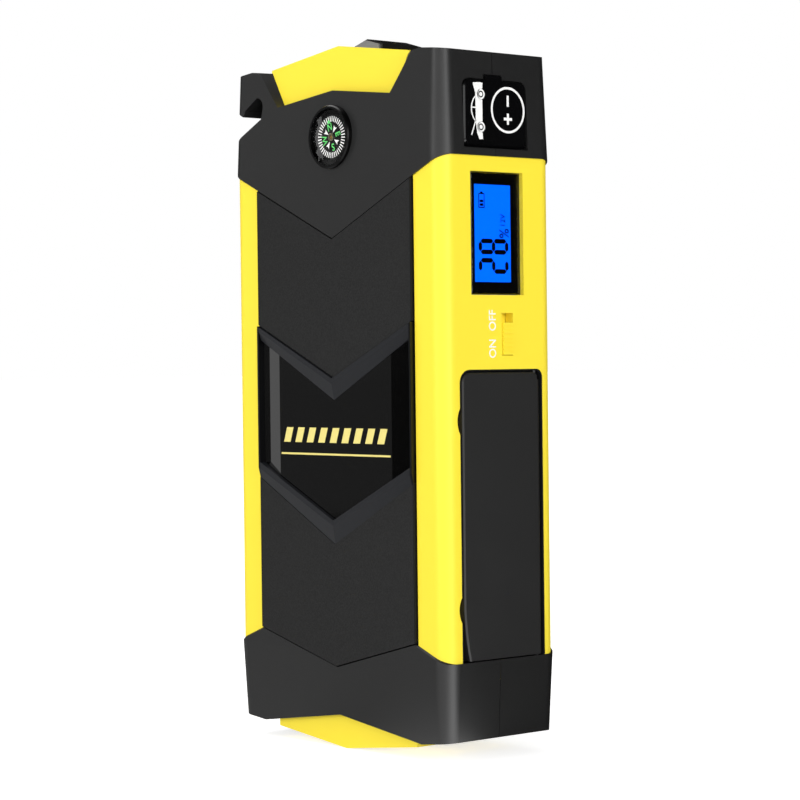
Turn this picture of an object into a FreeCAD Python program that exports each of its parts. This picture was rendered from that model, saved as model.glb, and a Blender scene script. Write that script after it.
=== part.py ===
"""Jump starter pack: a hand-held lithium pack that starts a car, modelled as it is assembled.

Frame: +Z up along the pack, -Y the front with the compass, +X the side with the display,
origin under the middle of the foot. Millimetres.
"""
import FreeCAD
import Part
import Sketcher
import math
import os
import re

SIZES = [
    # housing
    ("body_width", 78.0), ("body_depth", 35.4), ("body_corner", 3.8), ("wall", 2.4),
    ("sleeve_foot", 17.0), ("sleeve_long", 124.9), ("rear_thick", 2.9), ("lip", 1.2),
    ("neck_side", 13.2), ("neck_front", 15.4), ("neck_split", 12.4), ("neck_rise", 27.05),
    ("gable_slope", 0.137), ("keel_slope", 0.115),
    # clearances
    ("seat_gap", 0.05), ("seam_gap", 0.3), ("move_gap", 0.3), ("pin_gap", 0.05),
    # end caps
    ("cap_proud", 0.45), ("cap_lean", 1.0),
    ("cap_wall", 2.8), ("cap_split", -1.2), ("cap_joint", 0.15), ("cap_lap", 1.4), ("top_point", 17.7),
    ("foot_edge", 23.4), ("foot_shoulder", 27.4), ("foot_tip", 19.8),
    ("foot_corner", 5.2), ("notch_side", 9.7), ("notch_end", 4.2), ("notch_peak", 8.3),
    ("opening_side", 5.3), ("opening_drop", 13.15), ("opening_rise", 2.4),
    ("opening_flare", 0.96), ("jamb_flare", 0.545), ("opening_splay", 0.7), ("cut_over", 5.0),
    ("cap_edge", 0.3),
    ("roof_drop", 4.45), ("ridge_rise", 0.85), ("ridge_side", 7.4), ("roof_step", 0.2),
    ("roof_thick", 5.3),
    # belt-cutter hook
    ("throat_drop", 15.45), ("throat_deep", 11.4), ("throat_lip", 0.6), ("throat_rise", 2.8),
    ("throat_tall", 5.3), ("throat_lean", 2.0), ("throat_bend", 2.5), ("barb_side", 4.1),
    ("barb_rise", 1.0), ("barb_thick", 0.7), ("barb_tall", 1.5), ("mouth_drop", 6.4), ("mouth_rise", 3.4),
    ("blade_thick", 0.6), ("blade_sink", 2.0), ("blade_rise", 6.2), ("blade_show", 2.0),
    ("blade_slant", 2.4), ("blade_tail", 0.4),
    # front panels
    ("panel_side", 10.2), ("panel_gap", 0.45), ("panel_deep", 1.2), ("pad_proud", 0.6), ("ridge_proud", 1.1),
    ("window_proud", 0.3), ("recess_low", 19.0), ("recess_drop", 5.3), ("rail", 0.6),
    ("upper_end", 102.5), ("upper_tip", 89.5), ("ridge_flat", 1.3),
    ("pane_high_end", 98.7), ("pane_high_tip", 84.0), ("pane_low_end", 68.5), ("pane_low_tip", 55.1),
    ("lower_end", 64.8), ("lower_tip", 49.4), ("facet_wide", 7.8), ("facet_drop", 0.8),
    # compass
    ("compass_rise", 5.1), ("compass_r", 7.6), ("compass_rim", 0.9), ("compass_deep", 7.05),
    ("bezel_lip", 0.8), ("bezel_floor", 1.0), ("card_r", 5.45), ("card_sunk", 1.25),
    ("card_thick", 0.7), ("card_bore", 0.5), ("pin_collar", 1.1), ("pin_show", 0.2), ("lens_seat", 0.15),
    ("lens_thick", 0.6), ("dome", 1.0),
    # display
    ("display_front", -8.8), ("display_rear", 7.9), ("display_drop", 5.0), ("display_tall", 28.6),
    ("lens_proud", -0.05), ("cover_thick", 1.0), ("mask_thick", 1.1), ("screen_front", -6.6),
    ("screen_rear", 4.9), ("screen_drop", 2.9), ("screen_tall", 22.7), ("module_thick", 2.6),
    ("lens_bevel", 0.35),
    # slide switch
    ("slot_front", 0.7), ("slot_rear", 4.3), ("slot_drop", 4.2), ("slot_tall", 9.9),
    ("knob_long", 7.5), ("knob_proud", 0.6), ("knob_side_gap", 0.15), ("rib_pitch", 1.0),
    ("rib_groove", 0.45), ("rib_deep", 0.35), ("flange_side", 1.4), ("flange_low", 1.7),
    ("flange_high", 4.2), ("flange_thick", 1.3), ("peg_wide", 1.2), ("peg_long", 3.0),
    ("peg_deep", 2.4), ("switch_wall", 1.2),
    # port bay and door
    ("door_ahead", 5.6), ("door_behind", 2.1), ("door_low", 23.7), ("door_drop", 3.9),
    ("door_corner", 2.4), ("hinge_corner", 2.8), ("door_thick", 2.2), ("knuckle_drop", 1.8),
    ("knuckle_r", 0.7), ("door_gap", 0.35), ("hinge_room", 0.6), ("liner", 0.3), ("bay_corner", 1.5),
    ("rubber_edge", 0.35),
    ("door_proud", 0.3), ("door_curl", 1.6),
    ("door_curl_high", 38.0), ("bay_low", 23.0), ("bay_deep", 5.0), ("floor_thick", 2.0),
    ("plate_rim", 1.0), ("trunnion_r", 0.45), ("trunnion_long", 1.4), ("nail_r", 5.8),
    ("nail_bite", 0.8), ("nail_deep", 1.9), ("nail_drop", 11.2), ("nail_low", 35.6),
    # sockets behind the door
    ("port_y", 0.3), ("usb_drop", 7.3), ("usb_pitch", 9.0), ("usb_wide", 13.2), ("usb_tall", 5.7),
    ("usb_skin", 0.35), ("usb_proud", 0.3), ("tongue_wide", 11.1), ("tongue_tall", 1.9),
    ("tongue_up", 0.6), ("tongue_back", 1.0), ("jack_z", 43.5), ("out_jack_y", -4.9),
    ("in_jack_y", 6.3), ("out_jack_r", 4.2), ("out_bore_r", 3.0), ("out_pin_r", 1.05),
    ("in_jack_r", 3.1), ("in_bore_r", 1.95), ("in_pin_r", 0.65), ("jack_bore", 9.0),
    ("button_z", 31.6), ("button_r", 3.2), ("button_flange", 4.2), ("button_proud", 1.3),
    ("button_travel", 0.8), ("button_rim", 1.0), ("button_edge", 0.4),
    # circuit board and cells
    ("board_room", 12.9), ("board_thick", 1.6), ("board_low", 24.0), ("board_drop", 13.9),
    ("board_ahead", 1.7), ("board_behind", 2.2), ("post_side", 6.0),
    ("cell_side", 5.0), ("cell_room", 2.0), ("cell_low", 24.0), ("cell_drop", 9.9),
    ("cell_thick", 8.2), ("cell_edge", 1.2), ("foam_inset", 4.0), ("strap_thick", 1.0),
    ("strap_wide", 5.0), ("strap_lap", 7.5),
    # starter cable socket and its cover
    ("socket_y", -0.75), ("socket_rise", 8.4), ("socket_wide", 17.0), ("socket_tall", 10.4),
    ("socket_long", 17.3), ("socket_key", 2.0), ("pole_pitch", 9.2),
    ("pole_bore", 2.5), ("pole_r", 3.1), ("pole_inset", 2.0), ("pole_deep", 12.4),
    ("pole_floor", 1.6), ("tab_wide", 2.4), ("tab_thick", 0.8), ("tab_long", 2.4), ("cover_front", -10.6),
    ("cover_rear", 9.1), ("cover_under", 7.8), ("cover_over", 7.7), ("cover_thick_rubber", 1.6),
    ("cover_sunk", 0.25), ("cover_corner", 1.8), ("cover_turn", 0.9), ("tab_front", -3.8), ("tab_rear", 1.4),
    ("tab_rise", 1.1), ("cover_pin_long", 0.8),
    # torch
    ("torch_half", 5.7), ("torch_long", 6.2), ("torch_rise", 2.35), ("torch_slope", 0.285),
    ("torch_border", 0.8), ("torch_pane", 0.8), ("torch_well", 4.7), ("torch_end", 0.4),
    ("reflector_drop", 0.35), ("reflector_tall", 5.6), ("reflector_skin", 0.6),
    ("led_side", 1.8), ("led_tall", 0.8), ("led_pitch", 2.2), ("led_lens", 1.3), ("led_rise", 0.3),
    # screws
    ("screw_side", 5.5), ("screw_drop", 3.5), ("screw_foot_z", 12.0), ("screw_r", 1.25),
    ("screw_head_r", 2.3), ("screw_head", 1.5), ("screw_sink", 2.2), ("screw_long", 20.0),
    ("screw_drive", 0.7), ("drive_deep", 0.9),
]

# Places that follow from the sizes. Each may use sizes and the places above it.
PLACES = {
    # across the pack, from the middle of its width
    "side": "body_width / 2",
    "neck_half": "side - neck_side",
    "opening_half": "neck_half - opening_side",
    "roof_ridge_x": "side - ridge_side",
    "throat_x": "side - throat_deep",
    "throat_wall_x": "throat_x - throat_lip",
    "throat_roof_x": "throat_x + throat_lean",
    "barb_x": "side - barb_side",
    "barb_in_x": "barb_x - barb_thick",
    "blade_low_x": "throat_x + blade_show",
    "blade_high_x": "blade_low_x + blade_slant",
    "blade_back": "neck_half + blade_tail",
    "panel_half": "side - panel_side",
    "facet_start": "panel_half - facet_wide",
    "notch_half": "side - notch_side",
    "screw_x": "side - screw_side",
    "bay_floor": "side - bay_deep",
    "plate_back": "bay_floor - floor_thick",
    "board_face": "plate_back - board_room",
    "cell_left": "cell_side - side",
    "cell_right": "board_face - board_thick - cell_room",
    "strap_left": "cell_right - strap_lap",
    "cover_face": "side + cap_proud - cover_sunk",
    "socket_face": "cover_face - cover_thick_rubber - seam_gap",
    "socket_back": "socket_face - socket_long",
    # up the pack, from the head of the sleeve
    "sleeve_head": "sleeve_foot + sleeve_long",
    "top_edge": "sleeve_head - cap_lap",
    "top_tip": "top_edge - top_point",
    "gable_peak": "sleeve_head + neck_rise",
    "roof_end": "gable_peak - roof_drop",
    "roof_ridge": "roof_end + ridge_rise",
    "roof_inner": "roof_end + roof_step",
    "chamber_high": "roof_end - roof_thick",
    "opening_low": "gable_peak - opening_drop",
    "opening_mid": "opening_low + opening_rise",
    "throat_low": "gable_peak - throat_drop",
    "throat_wall": "throat_low + throat_rise",
    "throat_roof": "throat_low + throat_tall",
    "barb_z": "throat_low + barb_rise",
    "barb_in_z": "barb_z + barb_tall",
    "mouth_low": "throat_low - mouth_drop",
    "mouth_high": "throat_low + mouth_rise",
    "blade_low": "throat_low - blade_sink",
    "blade_high": "throat_low + blade_rise",
    "recess_high": "sleeve_head - recess_drop",
    "compass_z": "sleeve_head + compass_rise",
    "display_high": "sleeve_head - display_drop",
    "display_low": "display_high - display_tall",
    "screen_high": "display_high - screen_drop",
    "screen_low": "screen_high - screen_tall",
    "slot_high": "display_low - slot_drop",
    "slot_low": "slot_high - slot_tall",
    "door_high": "slot_low - door_drop",
    "nail_high": "door_high - nail_drop",
    "usb_top": "door_high - usb_drop",
    "board_high": "sleeve_head - board_drop",
    "cell_high": "sleeve_head - cell_drop",
    "socket_z": "sleeve_head + socket_rise",
    "cover_low": "socket_z - cover_under",
    "cover_high": "socket_z + cover_over",
    "tab_high": "cover_high + tab_rise",
    "torch_peak": "gable_peak + torch_rise",
    "reflector_high": "gable_peak - reflector_drop",
    "reflector_low": "reflector_high - reflector_tall",
    "screw_top_z": "roof_end - screw_drop",
    # front to back
    "split": "body_depth / 2 - rear_thick",
    "door_front": "door_ahead - body_depth / 2",
    "door_rear": "split - door_behind",
    "board_front": "wall + board_ahead - body_depth / 2",
    "board_rear": "split - board_behind",
    "compass_back": "body_depth / 2 + cap_proud + compass_rim - compass_deep",
    "card_front": "body_depth / 2 + cap_proud + compass_rim - card_sunk",
}

NORMAL = {"XY_Plane": 1, "XZ_Plane": -1, "YZ_Plane": 1}

doc = FreeCAD.newDocument("jump_starter_pack")
sheet = doc.addObject("Spreadsheet::Sheet", "size")
parts = []


def fill_sheet():
    """Write every driving size to the sheet as a plain number with its name as alias."""
    for row, (name, value) in enumerate(SIZES, 1):
        sheet.set(f"A{row}", name)
        sheet.set(f"B{row}", str(value))
        sheet.setAlias(f"B{row}", name)
    doc.recompute()


def spell_out(found):
    """One name of a formula as the sheet knows it: a size, or a place in brackets."""
    name = found.group(0)
    if name in PLACES:
        return f"({bound(PLACES[name])})"
    return f"size.{name}"


def bound(formula):
    """A formula in size and place names, as an expression on the sheet."""
    return re.sub(r"[a-z]\w*(?!\w|\()", spell_out, str(formula))


def number(formula):
    """The present value of a formula in size and place names."""
    return float(sheet.evalExpression(bound(formula)))


# ---------------------------------------------------------------- sketches

def plane(body, role):
    return [item for item in body.Origin.OriginFeatures if item.Role == role][0]


def new_sketch(body, role, at, rise="0"):
    """Sketch on an origin plane of the body, moved to `at` along the axis and up by `rise`."""
    sketch = body.newObject("Sketcher::SketchObject", f"{body.Name}_sketch")
    sketch.AttachmentSupport = [(plane(body, role), "")]
    sketch.MapMode = "FlatFace"
    sketch.setExpression("AttachmentOffset.Base.z", f"{NORMAL[role]} * ({bound(at)})")
    sketch.setExpression("AttachmentOffset.Base.y", bound(rise))
    return sketch


def pin_down(sketch, geometry, vertex, x, y):
    """Tie one sketch vertex to the origin by two bound distances."""
    for kind, formula in (("DistanceX", x), ("DistanceY", y)):
        rule = Sketcher.Constraint(kind, -1, 1, geometry, vertex, number(formula))
        index = sketch.addConstraint(rule)
        sketch.setExpression(f"Constraints[{index}]", bound(formula))


def arc_between(start, end, radius, turn):
    """Circular arc from start to end, centre on the left for turn 1 and on the right for -1."""
    chord = end - start
    half = chord.Length / 2
    side = FreeCAD.Vector(-chord.y, chord.x, 0).normalize() * turn
    reach = math.sqrt(max(radius * radius - half * half, 0.0))
    centre = (start + end) * 0.5 + side * reach
    middle = centre - side * radius
    return Part.Arc(start, middle, end)


def draw_path(sketch, nodes):
    """Closed outline. A node is (x, y), or (x, y, radius, turn) where an arc leads on from it."""
    spots = [FreeCAD.Vector(number(node[0]), number(node[1]), 0) for node in nodes]
    first = sketch.GeometryCount
    count = len(nodes)
    for index, node in enumerate(nodes):
        start = spots[index]
        end = spots[(index + 1) % count]
        if len(node) == 2:
            sketch.addGeometry(Part.LineSegment(start, end))
        else:
            sketch.addGeometry(arc_between(start, end, number(node[2]), node[3]))
    for index, node in enumerate(nodes):
        here = first + index
        ahead = first + (index + 1) % count
        turned = len(node) == 4 and node[3] < 0
        last_turned = len(nodes[(index + 1) % count]) == 4 and nodes[(index + 1) % count][3] < 0
        end_vertex = 1 if turned else 2
        start_vertex = 2 if last_turned else 1
        sketch.addConstraint(Sketcher.Constraint("Coincident", here, end_vertex, ahead, start_vertex))
    for index, node in enumerate(nodes):
        here = first + index
        turned = len(node) == 4 and node[3] < 0
        pin_down(sketch, here, 2 if turned else 1, node[0], node[1])
        if len(node) == 4:
            rule = sketch.addConstraint(Sketcher.Constraint("Radius", here, number(node[2])))
            sketch.setExpression(f"Constraints[{rule}]", bound(node[2]))


def draw_circles(sketch, circles):
    """Full circles, each (x, y, radius)."""
    for x, y, radius in circles:
        centre = FreeCAD.Vector(number(x), number(y), 0)
        here = sketch.addGeometry(Part.Circle(centre, FreeCAD.Vector(0, 0, 1), number(radius)))
        pin_down(sketch, here, 3, x, y)
        rule = sketch.addConstraint(Sketcher.Constraint("Radius", here, number(radius)))
        sketch.setExpression(f"Constraints[{rule}]", bound(radius))


def rectangle(left, right, low, high):
    return [(left, low), (right, low), (right, high), (left, high)]


def rounded(left, right, low, high, radius):
    """Nodes of a rectangle with four round corners."""
    return [
        (f"{left} + {radius}", low), (f"{right} - ({radius})", low, radius, 1),
        (right, f"{low} + {radius}"), (right, f"{high} - ({radius})", radius, 1),
        (f"{right} - ({radius})", high), (f"{left} + {radius}", high, radius, 1),
        (left, f"{high} - ({radius})"), (left, f"{low} + {radius}", radius, 1),
    ]


def mirrored(half):
    """Closed outline from the right-hand half, given from its lowest point up to its highest."""
    left = [(f"-({x})", z) for x, z in reversed(half) if str(x) != "0"]
    return list(half) + left


# ---------------------------------------------------------------- features

def new_body(label):
    body = doc.addObject("PartDesign::Body", label)
    body.Label = label
    parts.append(body)
    return body


def extrude(body, kind, role, start, end, nodes=None, circles=None):
    """Pad or Pocket from `start` to `end` along the plane's own axis, in the + direction."""
    sketch = new_sketch(body, role, start)
    if nodes:
        draw_path(sketch, nodes)
    if circles:
        draw_circles(sketch, circles)
    before = body.Shape.Volume if kind == "Pocket" else 0.0
    feature = body.newObject(f"PartDesign::{kind}", f"{body.Name}_{kind}")
    feature.Profile = sketch
    feature.setExpression("Length", bound(f"({end}) - ({start})"))
    feature.Reversed = (NORMAL[role] < 0) == (kind == "Pad")
    doc.recompute()
    if kind == "Pocket" and not body.Shape.Volume < before:
        raise RuntimeError(f"{body.Label}: a pocket removed nothing")
    return feature


def pad(body, role, start, end, nodes=None, circles=None):
    return extrude(body, "Pad", role, start, end, nodes, circles)


def cut(body, role, start, end, nodes=None, circles=None):
    return extrude(body, "Pocket", role, start, end, nodes, circles)


def loft(body, kind, role, sections, ruled=False):
    """Additive or subtractive loft through (position, nodes) sections."""
    sketches = []
    for at, nodes in sections:
        sketch = new_sketch(body, role, at)
        draw_path(sketch, nodes)
        sketches.append(sketch)
    feature = body.newObject(f"PartDesign::{kind}Loft", f"{body.Name}_loft")
    feature.Profile = sketches[0]
    feature.Sections = sketches[1:]
    feature.Ruled = ruled
    doc.recompute()
    return feature


def turn(body, kind, role, at, rise, profile):
    """Revolution or Groove of a profile (along, radius) about the plane's horizontal axis."""
    sketch = new_sketch(body, role, at, rise)
    draw_path(sketch, profile)
    feature = body.newObject(f"PartDesign::{kind}", f"{body.Name}_turned")
    feature.Profile = sketch
    feature.ReferenceAxis = (sketch, ["H_Axis"])
    feature.Angle = 360
    doc.recompute()
    return feature


def soften(body, kind, size, wanted):
    """Fillet or Chamfer on the edges for which wanted(edge) is true."""
    tip = body.Tip
    names = [f"Edge{i}" for i, edge in enumerate(tip.Shape.Edges, 1) if wanted(edge)]
    if not names:
        raise RuntimeError(f"{body.Label}: no edge to soften")
    feature = body.newObject(f"PartDesign::{kind}", f"{body.Name}_{kind}")
    feature.Base = (tip, names)
    feature.setExpression("Radius" if kind == "Fillet" else "Size", bound(size))
    doc.recompute()
    return feature


def flat_at(edge, axis, formula, reach=1e-3):
    """True when the whole edge lies where its coordinate on the axis is the given value."""
    box = edge.BoundBox
    low = {"x": box.XMin, "y": box.YMin, "z": box.ZMin}[axis]
    high = {"x": box.XMax, "y": box.YMax, "z": box.ZMax}[axis]
    value = number(formula)
    return abs(low - value) < reach and abs(high - value) < reach


def along(edge, axis):
    """True for a straight edge that runs along the axis."""
    way = {"x": FreeCAD.Vector(1, 0, 0), "y": FreeCAD.Vector(0, 1, 0), "z": FreeCAD.Vector(0, 0, 1)}
    if edge.Curve.TypeId != "Part::GeomLine":
        return False
    return abs(edge.Curve.Direction.dot(way[axis])) > 0.999


# ---------------------------------------------------------------- primitives

def block(name, x, y, z):
    """Part::Box between two bound formulas on each axis."""
    box = doc.addObject("Part::Box", name)
    for prop, (low, high) in (("Length", x), ("Width", y), ("Height", z)):
        box.setExpression(prop, bound(f"({high}) - ({low})"))
    for axis, (low, high) in (("x", x), ("y", y), ("z", z)):
        box.setExpression(f"Placement.Base.{axis}", bound(low))
    return box


def rod(name, axis, centre, start, end, radius):
    """Part::Cylinder along the axis from start to end, centred at the other two coordinates."""
    cylinder = doc.addObject("Part::Cylinder", name)
    spins = {
        "x": FreeCAD.Rotation(FreeCAD.Vector(0, 1, 0), 90),
        "y": FreeCAD.Rotation(FreeCAD.Vector(1, 0, 0), -90),
        "z": FreeCAD.Rotation(),
    }
    cylinder.Placement = FreeCAD.Placement(FreeCAD.Vector(), spins[axis])
    others = [name for name in "xyz" if name != axis]
    cylinder.setExpression(f"Placement.Base.{axis}", bound(start))
    for name, value in zip(others, centre):
        cylinder.setExpression(f"Placement.Base.{name}", bound(value))
    cylinder.setExpression("Height", bound(f"({end}) - ({start})"))
    cylinder.setExpression("Radius", bound(radius))
    return cylinder


def combine(kind, name, base, tool):
    """Part::Cut, Part::Fuse or Part::Common of two objects."""
    result = doc.addObject(f"Part::{kind}", name)
    result.Base = base
    result.Tool = tool
    return result


def group(label, members):
    """One node made of separate solids."""
    compound = doc.addObject("Part::Compound", label)
    compound.Label = label
    compound.Links = members
    parts.append(compound)
    doc.recompute()
    return compound


def single(label, item):
    item.Label = label
    parts.append(item)
    doc.recompute()
    return item


# ---------------------------------------------------------------- shared outlines

GABLE = "(gable_peak - gable_slope * {x})"
KEEL = "(keel_slope * {x})"
HALF = "(body_width / 2)"
FRONT = "(-body_depth / 2)"
REAR = "(body_depth / 2)"
SIDE_IN = "(body_width / 2 - wall)"
TOP_LINE = "(top_tip + (top_edge - top_tip) * 2 * {x} / body_width)"
FOOT_LINE = "(foot_tip + (foot_shoulder - foot_tip) * {x} / panel_half)"


def core_outline(inset="0"):
    """Front view of the core that runs from the keel to the gable."""
    reach = f"(neck_half - ({inset}))"
    low = KEEL.format(x=reach)
    high = GABLE.format(x=reach)
    half = [("0", f"{inset}"), (reach, f"{low} + {inset}"), (reach, f"{high} - ({inset})"),
            ("0", f"gable_peak - ({inset})")]
    return mirrored(half)


def sleeve_section(grow="0"):
    """Plan view of the straight part of the housing."""
    return rounded(f"-{HALF} - ({grow})", f"{HALF} + {grow}", f"{FRONT} - ({grow})",
                   f"{REAR} + {grow}", f"(body_corner + {grow})")


def chevron(low_end, low_tip, high_end, high_tip, half="panel_half"):
    """Front view of a panel whose lower and upper edges are both V shaped."""
    return mirrored([("0", low_tip), (half, low_end), (half, high_end), ("0", high_tip)])


# ---------------------------------------------------------------- housing

def front_housing():
    """Deep tray: front wall, both sides and the gabled ends, open at the back."""
    body = new_body("front_housing")
    pad(body, "XY_Plane", "sleeve_foot", "sleeve_head", sleeve_section())
    cut(body, "XZ_Plane", "split", f"{REAR} + cut_over",
        rectangle(f"-{HALF} - 1", f"{HALF} + 1", "sleeve_foot - 1", "sleeve_head + 1"))
    pad(body, "XZ_Plane", "-neck_front", "neck_split", core_outline())
    cut(body, "XZ_Plane", "neck_split", "split + cut_over", core_outline("-seat_gap"))
    cut(body, "XZ_Plane", f"{FRONT} + wall", "split + cut_over",
        rectangle(f"-{SIDE_IN}", SIDE_IN, "sleeve_foot + wall", "sleeve_head - wall"))
    cut(body, "XZ_Plane", "wall - neck_front", "split + cut_over", core_outline("wall"))
    reach = "(panel_half + panel_gap)"
    cut(body, "XZ_Plane", f"{FRONT} - 1", f"{FRONT} + panel_deep",
        rectangle(f"-{reach}", reach, "recess_low", "recess_high"))
    cut(body, "XZ_Plane", f"{FRONT} - 1", "seat_gap - compass_back",
        circles=[("0", "compass_z", "compass_r + seat_gap")])
    side_openings(body)
    cut(body, "XY_Plane", "gable_peak - wall - cut_over", "gable_peak + 1",
        rectangle("-torch_well", "torch_well", "-torch_well", "torch_well"))
    socket_half = "(socket_wide / 2 + seat_gap)"
    socket_rise = "(socket_tall / 2 + seat_gap)"
    cut(body, "YZ_Plane", "neck_half - wall - 1", "neck_half + 1",
        rectangle(f"socket_y - {socket_half}", f"socket_y + {socket_half}",
                  f"socket_z - {socket_rise}", f"socket_z + {socket_rise}"))
    return body


def side_openings(body):
    """Display window, switch slot, port bay, nail scoops and hinge holes in the right side."""
    inside = f"{SIDE_IN} - 1"
    outside = f"{HALF} + 1"
    cut(body, "YZ_Plane", inside, outside,
        rectangle("display_front", "display_rear", "display_low", "display_high"))
    cut(body, "YZ_Plane", inside, outside,
        rectangle("slot_front", "slot_rear", "slot_low", "slot_high"))
    cut(body, "YZ_Plane", inside, outside, bay_outline("liner + seat_gap"))
    for place in nail_scoops():
        cut(body, "YZ_Plane", f"{HALF} - nail_deep", outside, circles=[place])
    hole = [(DOOR_AXIS_X, DOOR_AXIS_Y, "trunnion_r + pin_gap")]
    cut(body, "XY_Plane", "bay_low - trunnion_long - move_gap", "bay_low", circles=hole)
    cut(body, "XY_Plane", "door_high", f"{DOOR_PIN_TOP} + move_gap", circles=hole)


def bay_outline(grow="0"):
    """Side view of the opening that the port door closes, square at its foot."""
    front = f"(door_front - door_gap - ({grow}))"
    rear = f"(door_rear + hinge_room + {grow})"
    high = f"(door_high + door_gap + {grow})"
    low = f"(bay_low - ({grow}))"
    turn_front = f"(door_corner + door_gap + {grow})"
    turn_rear = f"(bay_corner + {grow})"
    return [
        (front, low), (rear, low),
        (rear, f"{high} - {turn_rear}", turn_rear, 1), (f"{rear} - {turn_rear}", high),
        (f"{front} + {turn_front}", high, turn_front, 1), (front, f"{high} - {turn_front}"),
    ]


def nail_scoops():
    """Circles that take a fingernail at the free edge of the door."""
    middle = "door_front - door_gap - liner - seat_gap - nail_bite + nail_r"
    return [(middle, height, "nail_r") for height in ("nail_high", "nail_low")]


def rear_housing():
    """Back cover with the rear walls of the core and a locating lip."""
    body = new_body("rear_housing")
    pad(body, "XY_Plane", "sleeve_foot", "sleeve_head", sleeve_section())
    cut(body, "XZ_Plane", f"{FRONT} - 1", "split",
        rectangle(f"-{HALF} - 1", f"{HALF} + 1", "sleeve_foot - 1", "sleeve_head + 1"))
    pad(body, "XZ_Plane", "neck_split", "neck_front", core_outline())
    outer = f"({SIDE_IN} - seat_gap)"
    low = "(sleeve_foot + wall + seat_gap)"
    high = "(sleeve_head - wall - seat_gap)"
    lip = [
        ("neck_half", low), ("neck_half", f"{low} + lip"), (f"-{outer} + lip", f"{low} + lip"),
        (f"-{outer} + lip", f"{high} - lip"), ("neck_half", f"{high} - lip"), ("neck_half", high),
        (f"-{outer}", high), (f"-{outer}", low),
    ]
    pad(body, "XZ_Plane", "neck_split", "split", lip)
    cut(body, "XZ_Plane", "neck_split - 1", "split",
        rectangle(f"-{outer} + lip", "neck_half + 1", f"{low} + lip", f"{high} - lip"))
    reach = "(panel_half + panel_gap)"
    cut(body, "XZ_Plane", f"{REAR} - panel_deep", f"{REAR} + 1",
        rectangle(f"-{reach}", reach, "recess_low", "recess_high"))
    return body


# ---------------------------------------------------------------- end caps

def cap_blank(body, start, finish, straight, end):
    """Cap solid: straight skirt, then walls and round corners that lean in towards the end."""
    outline = sleeve_section("cap_proud")
    low, high = sorted((start, end), key=number)
    base = pad(body, "XY_Plane", low, high, outline)
    walls = []
    for index, face in enumerate(base.Shape.Faces, 1):
        box = face.BoundBox
        if box.ZLength > 1:
            walls.append(f"Face{index}")
        elif abs(box.ZMin - number(start)) < 1e-3:
            neutral = f"Face{index}"
    draft = body.newObject("PartDesign::Draft", f"{body.Name}_draft")
    draft.Base = (base, walls)
    draft.NeutralPlane = (base, [neutral])
    draft.setExpression("Angle", bound(f"atan(cap_lean / abs({finish} - {start}))"))
    draft.Reversed = start != low
    doc.recompute()
    pad(body, "XY_Plane", min((start, straight), key=number), max((start, straight), key=number), outline)


def keep_half(body, front):
    """Cut a cap at the seam, a fine line a little forward of mid depth."""
    reach = f"{REAR} + cap_proud + 1"
    wide = f"{HALF} + cap_proud + 1"
    start, end = ("cap_split", reach) if front else (f"-({reach})", "cap_split + cap_joint")
    cut(body, "XZ_Plane", start, end,
        rectangle(f"-({wide})", wide, "-cut_over", "torch_peak + cut_over"))


def end_opening(body, front):
    """Flared opening in the big face of the top cap, through which the gable shows."""
    over = "(gable_peak + cut_over)"

    def outline(half, flare):
        reach = f"{half} + {flare} * ({over} - opening_low)"
        return mirrored([("0", "opening_mid"), (half, "opening_low"), (reach, over), ("0", over)])

    sign = "-" if front else ""
    outer = f"{sign}({REAR} + cap_proud)"
    inner = f"{sign}(neck_front)"
    wide = "(opening_half + opening_splay)"
    sections = [(outer, outline(wide, "opening_flare")), (inner, outline("opening_half", "jamb_flare"))]
    loft(body, "Subtractive", "XZ_Plane", sections, ruled=True)


def throat_outline():
    """Front view of the hook's mouth and throat, open to the left."""
    out = f"-{HALF} - cap_proud - 1"
    return [
        (out, "mouth_low"), ("-throat_x", "throat_low"), ("-throat_wall_x", "throat_wall", "throat_bend", 1),
        ("-throat_roof_x", "throat_roof"), ("-barb_in_x", "barb_in_z"), ("-barb_x", "barb_z"),
        (out, "mouth_high"),
    ]


def blade_outline(grow="0"):
    """Front view of the cutter blade, its edge slanting across the throat."""
    return [
        (f"-blade_low_x - ({grow})", f"blade_low - ({grow})"), (f"-blade_back + {grow}",
                                                                f"blade_low - ({grow})"),
        (f"-blade_back + {grow}", f"blade_high + {grow}"), (f"-blade_high_x - ({grow})",
                                                            f"blade_high + {grow}"),
    ]


def cover_recess(grow):
    """Side view of the seat for the socket cover, with the thumb tab's notch."""
    low = f"(cover_low - move_gap)"
    front = f"(cover_front - {grow})"
    rear = f"(cover_rear + {grow})"
    high = f"(cover_high + {grow})"
    radius = f"(cover_corner + {grow})"
    return [
        (front, low), (rear, low), (rear, f"{high} - {radius}", radius, 1),
        (f"{rear} - {radius}", high), (f"tab_rear + {grow}", high),
        (f"tab_rear + {grow}", f"tab_high + {grow}"), (f"tab_front - {grow}", f"tab_high + {grow}"),
        (f"tab_front - {grow}", high), (f"{front} + {radius}", high, radius, 1),
        (front, f"{high} - {radius}"),
    ]


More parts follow.
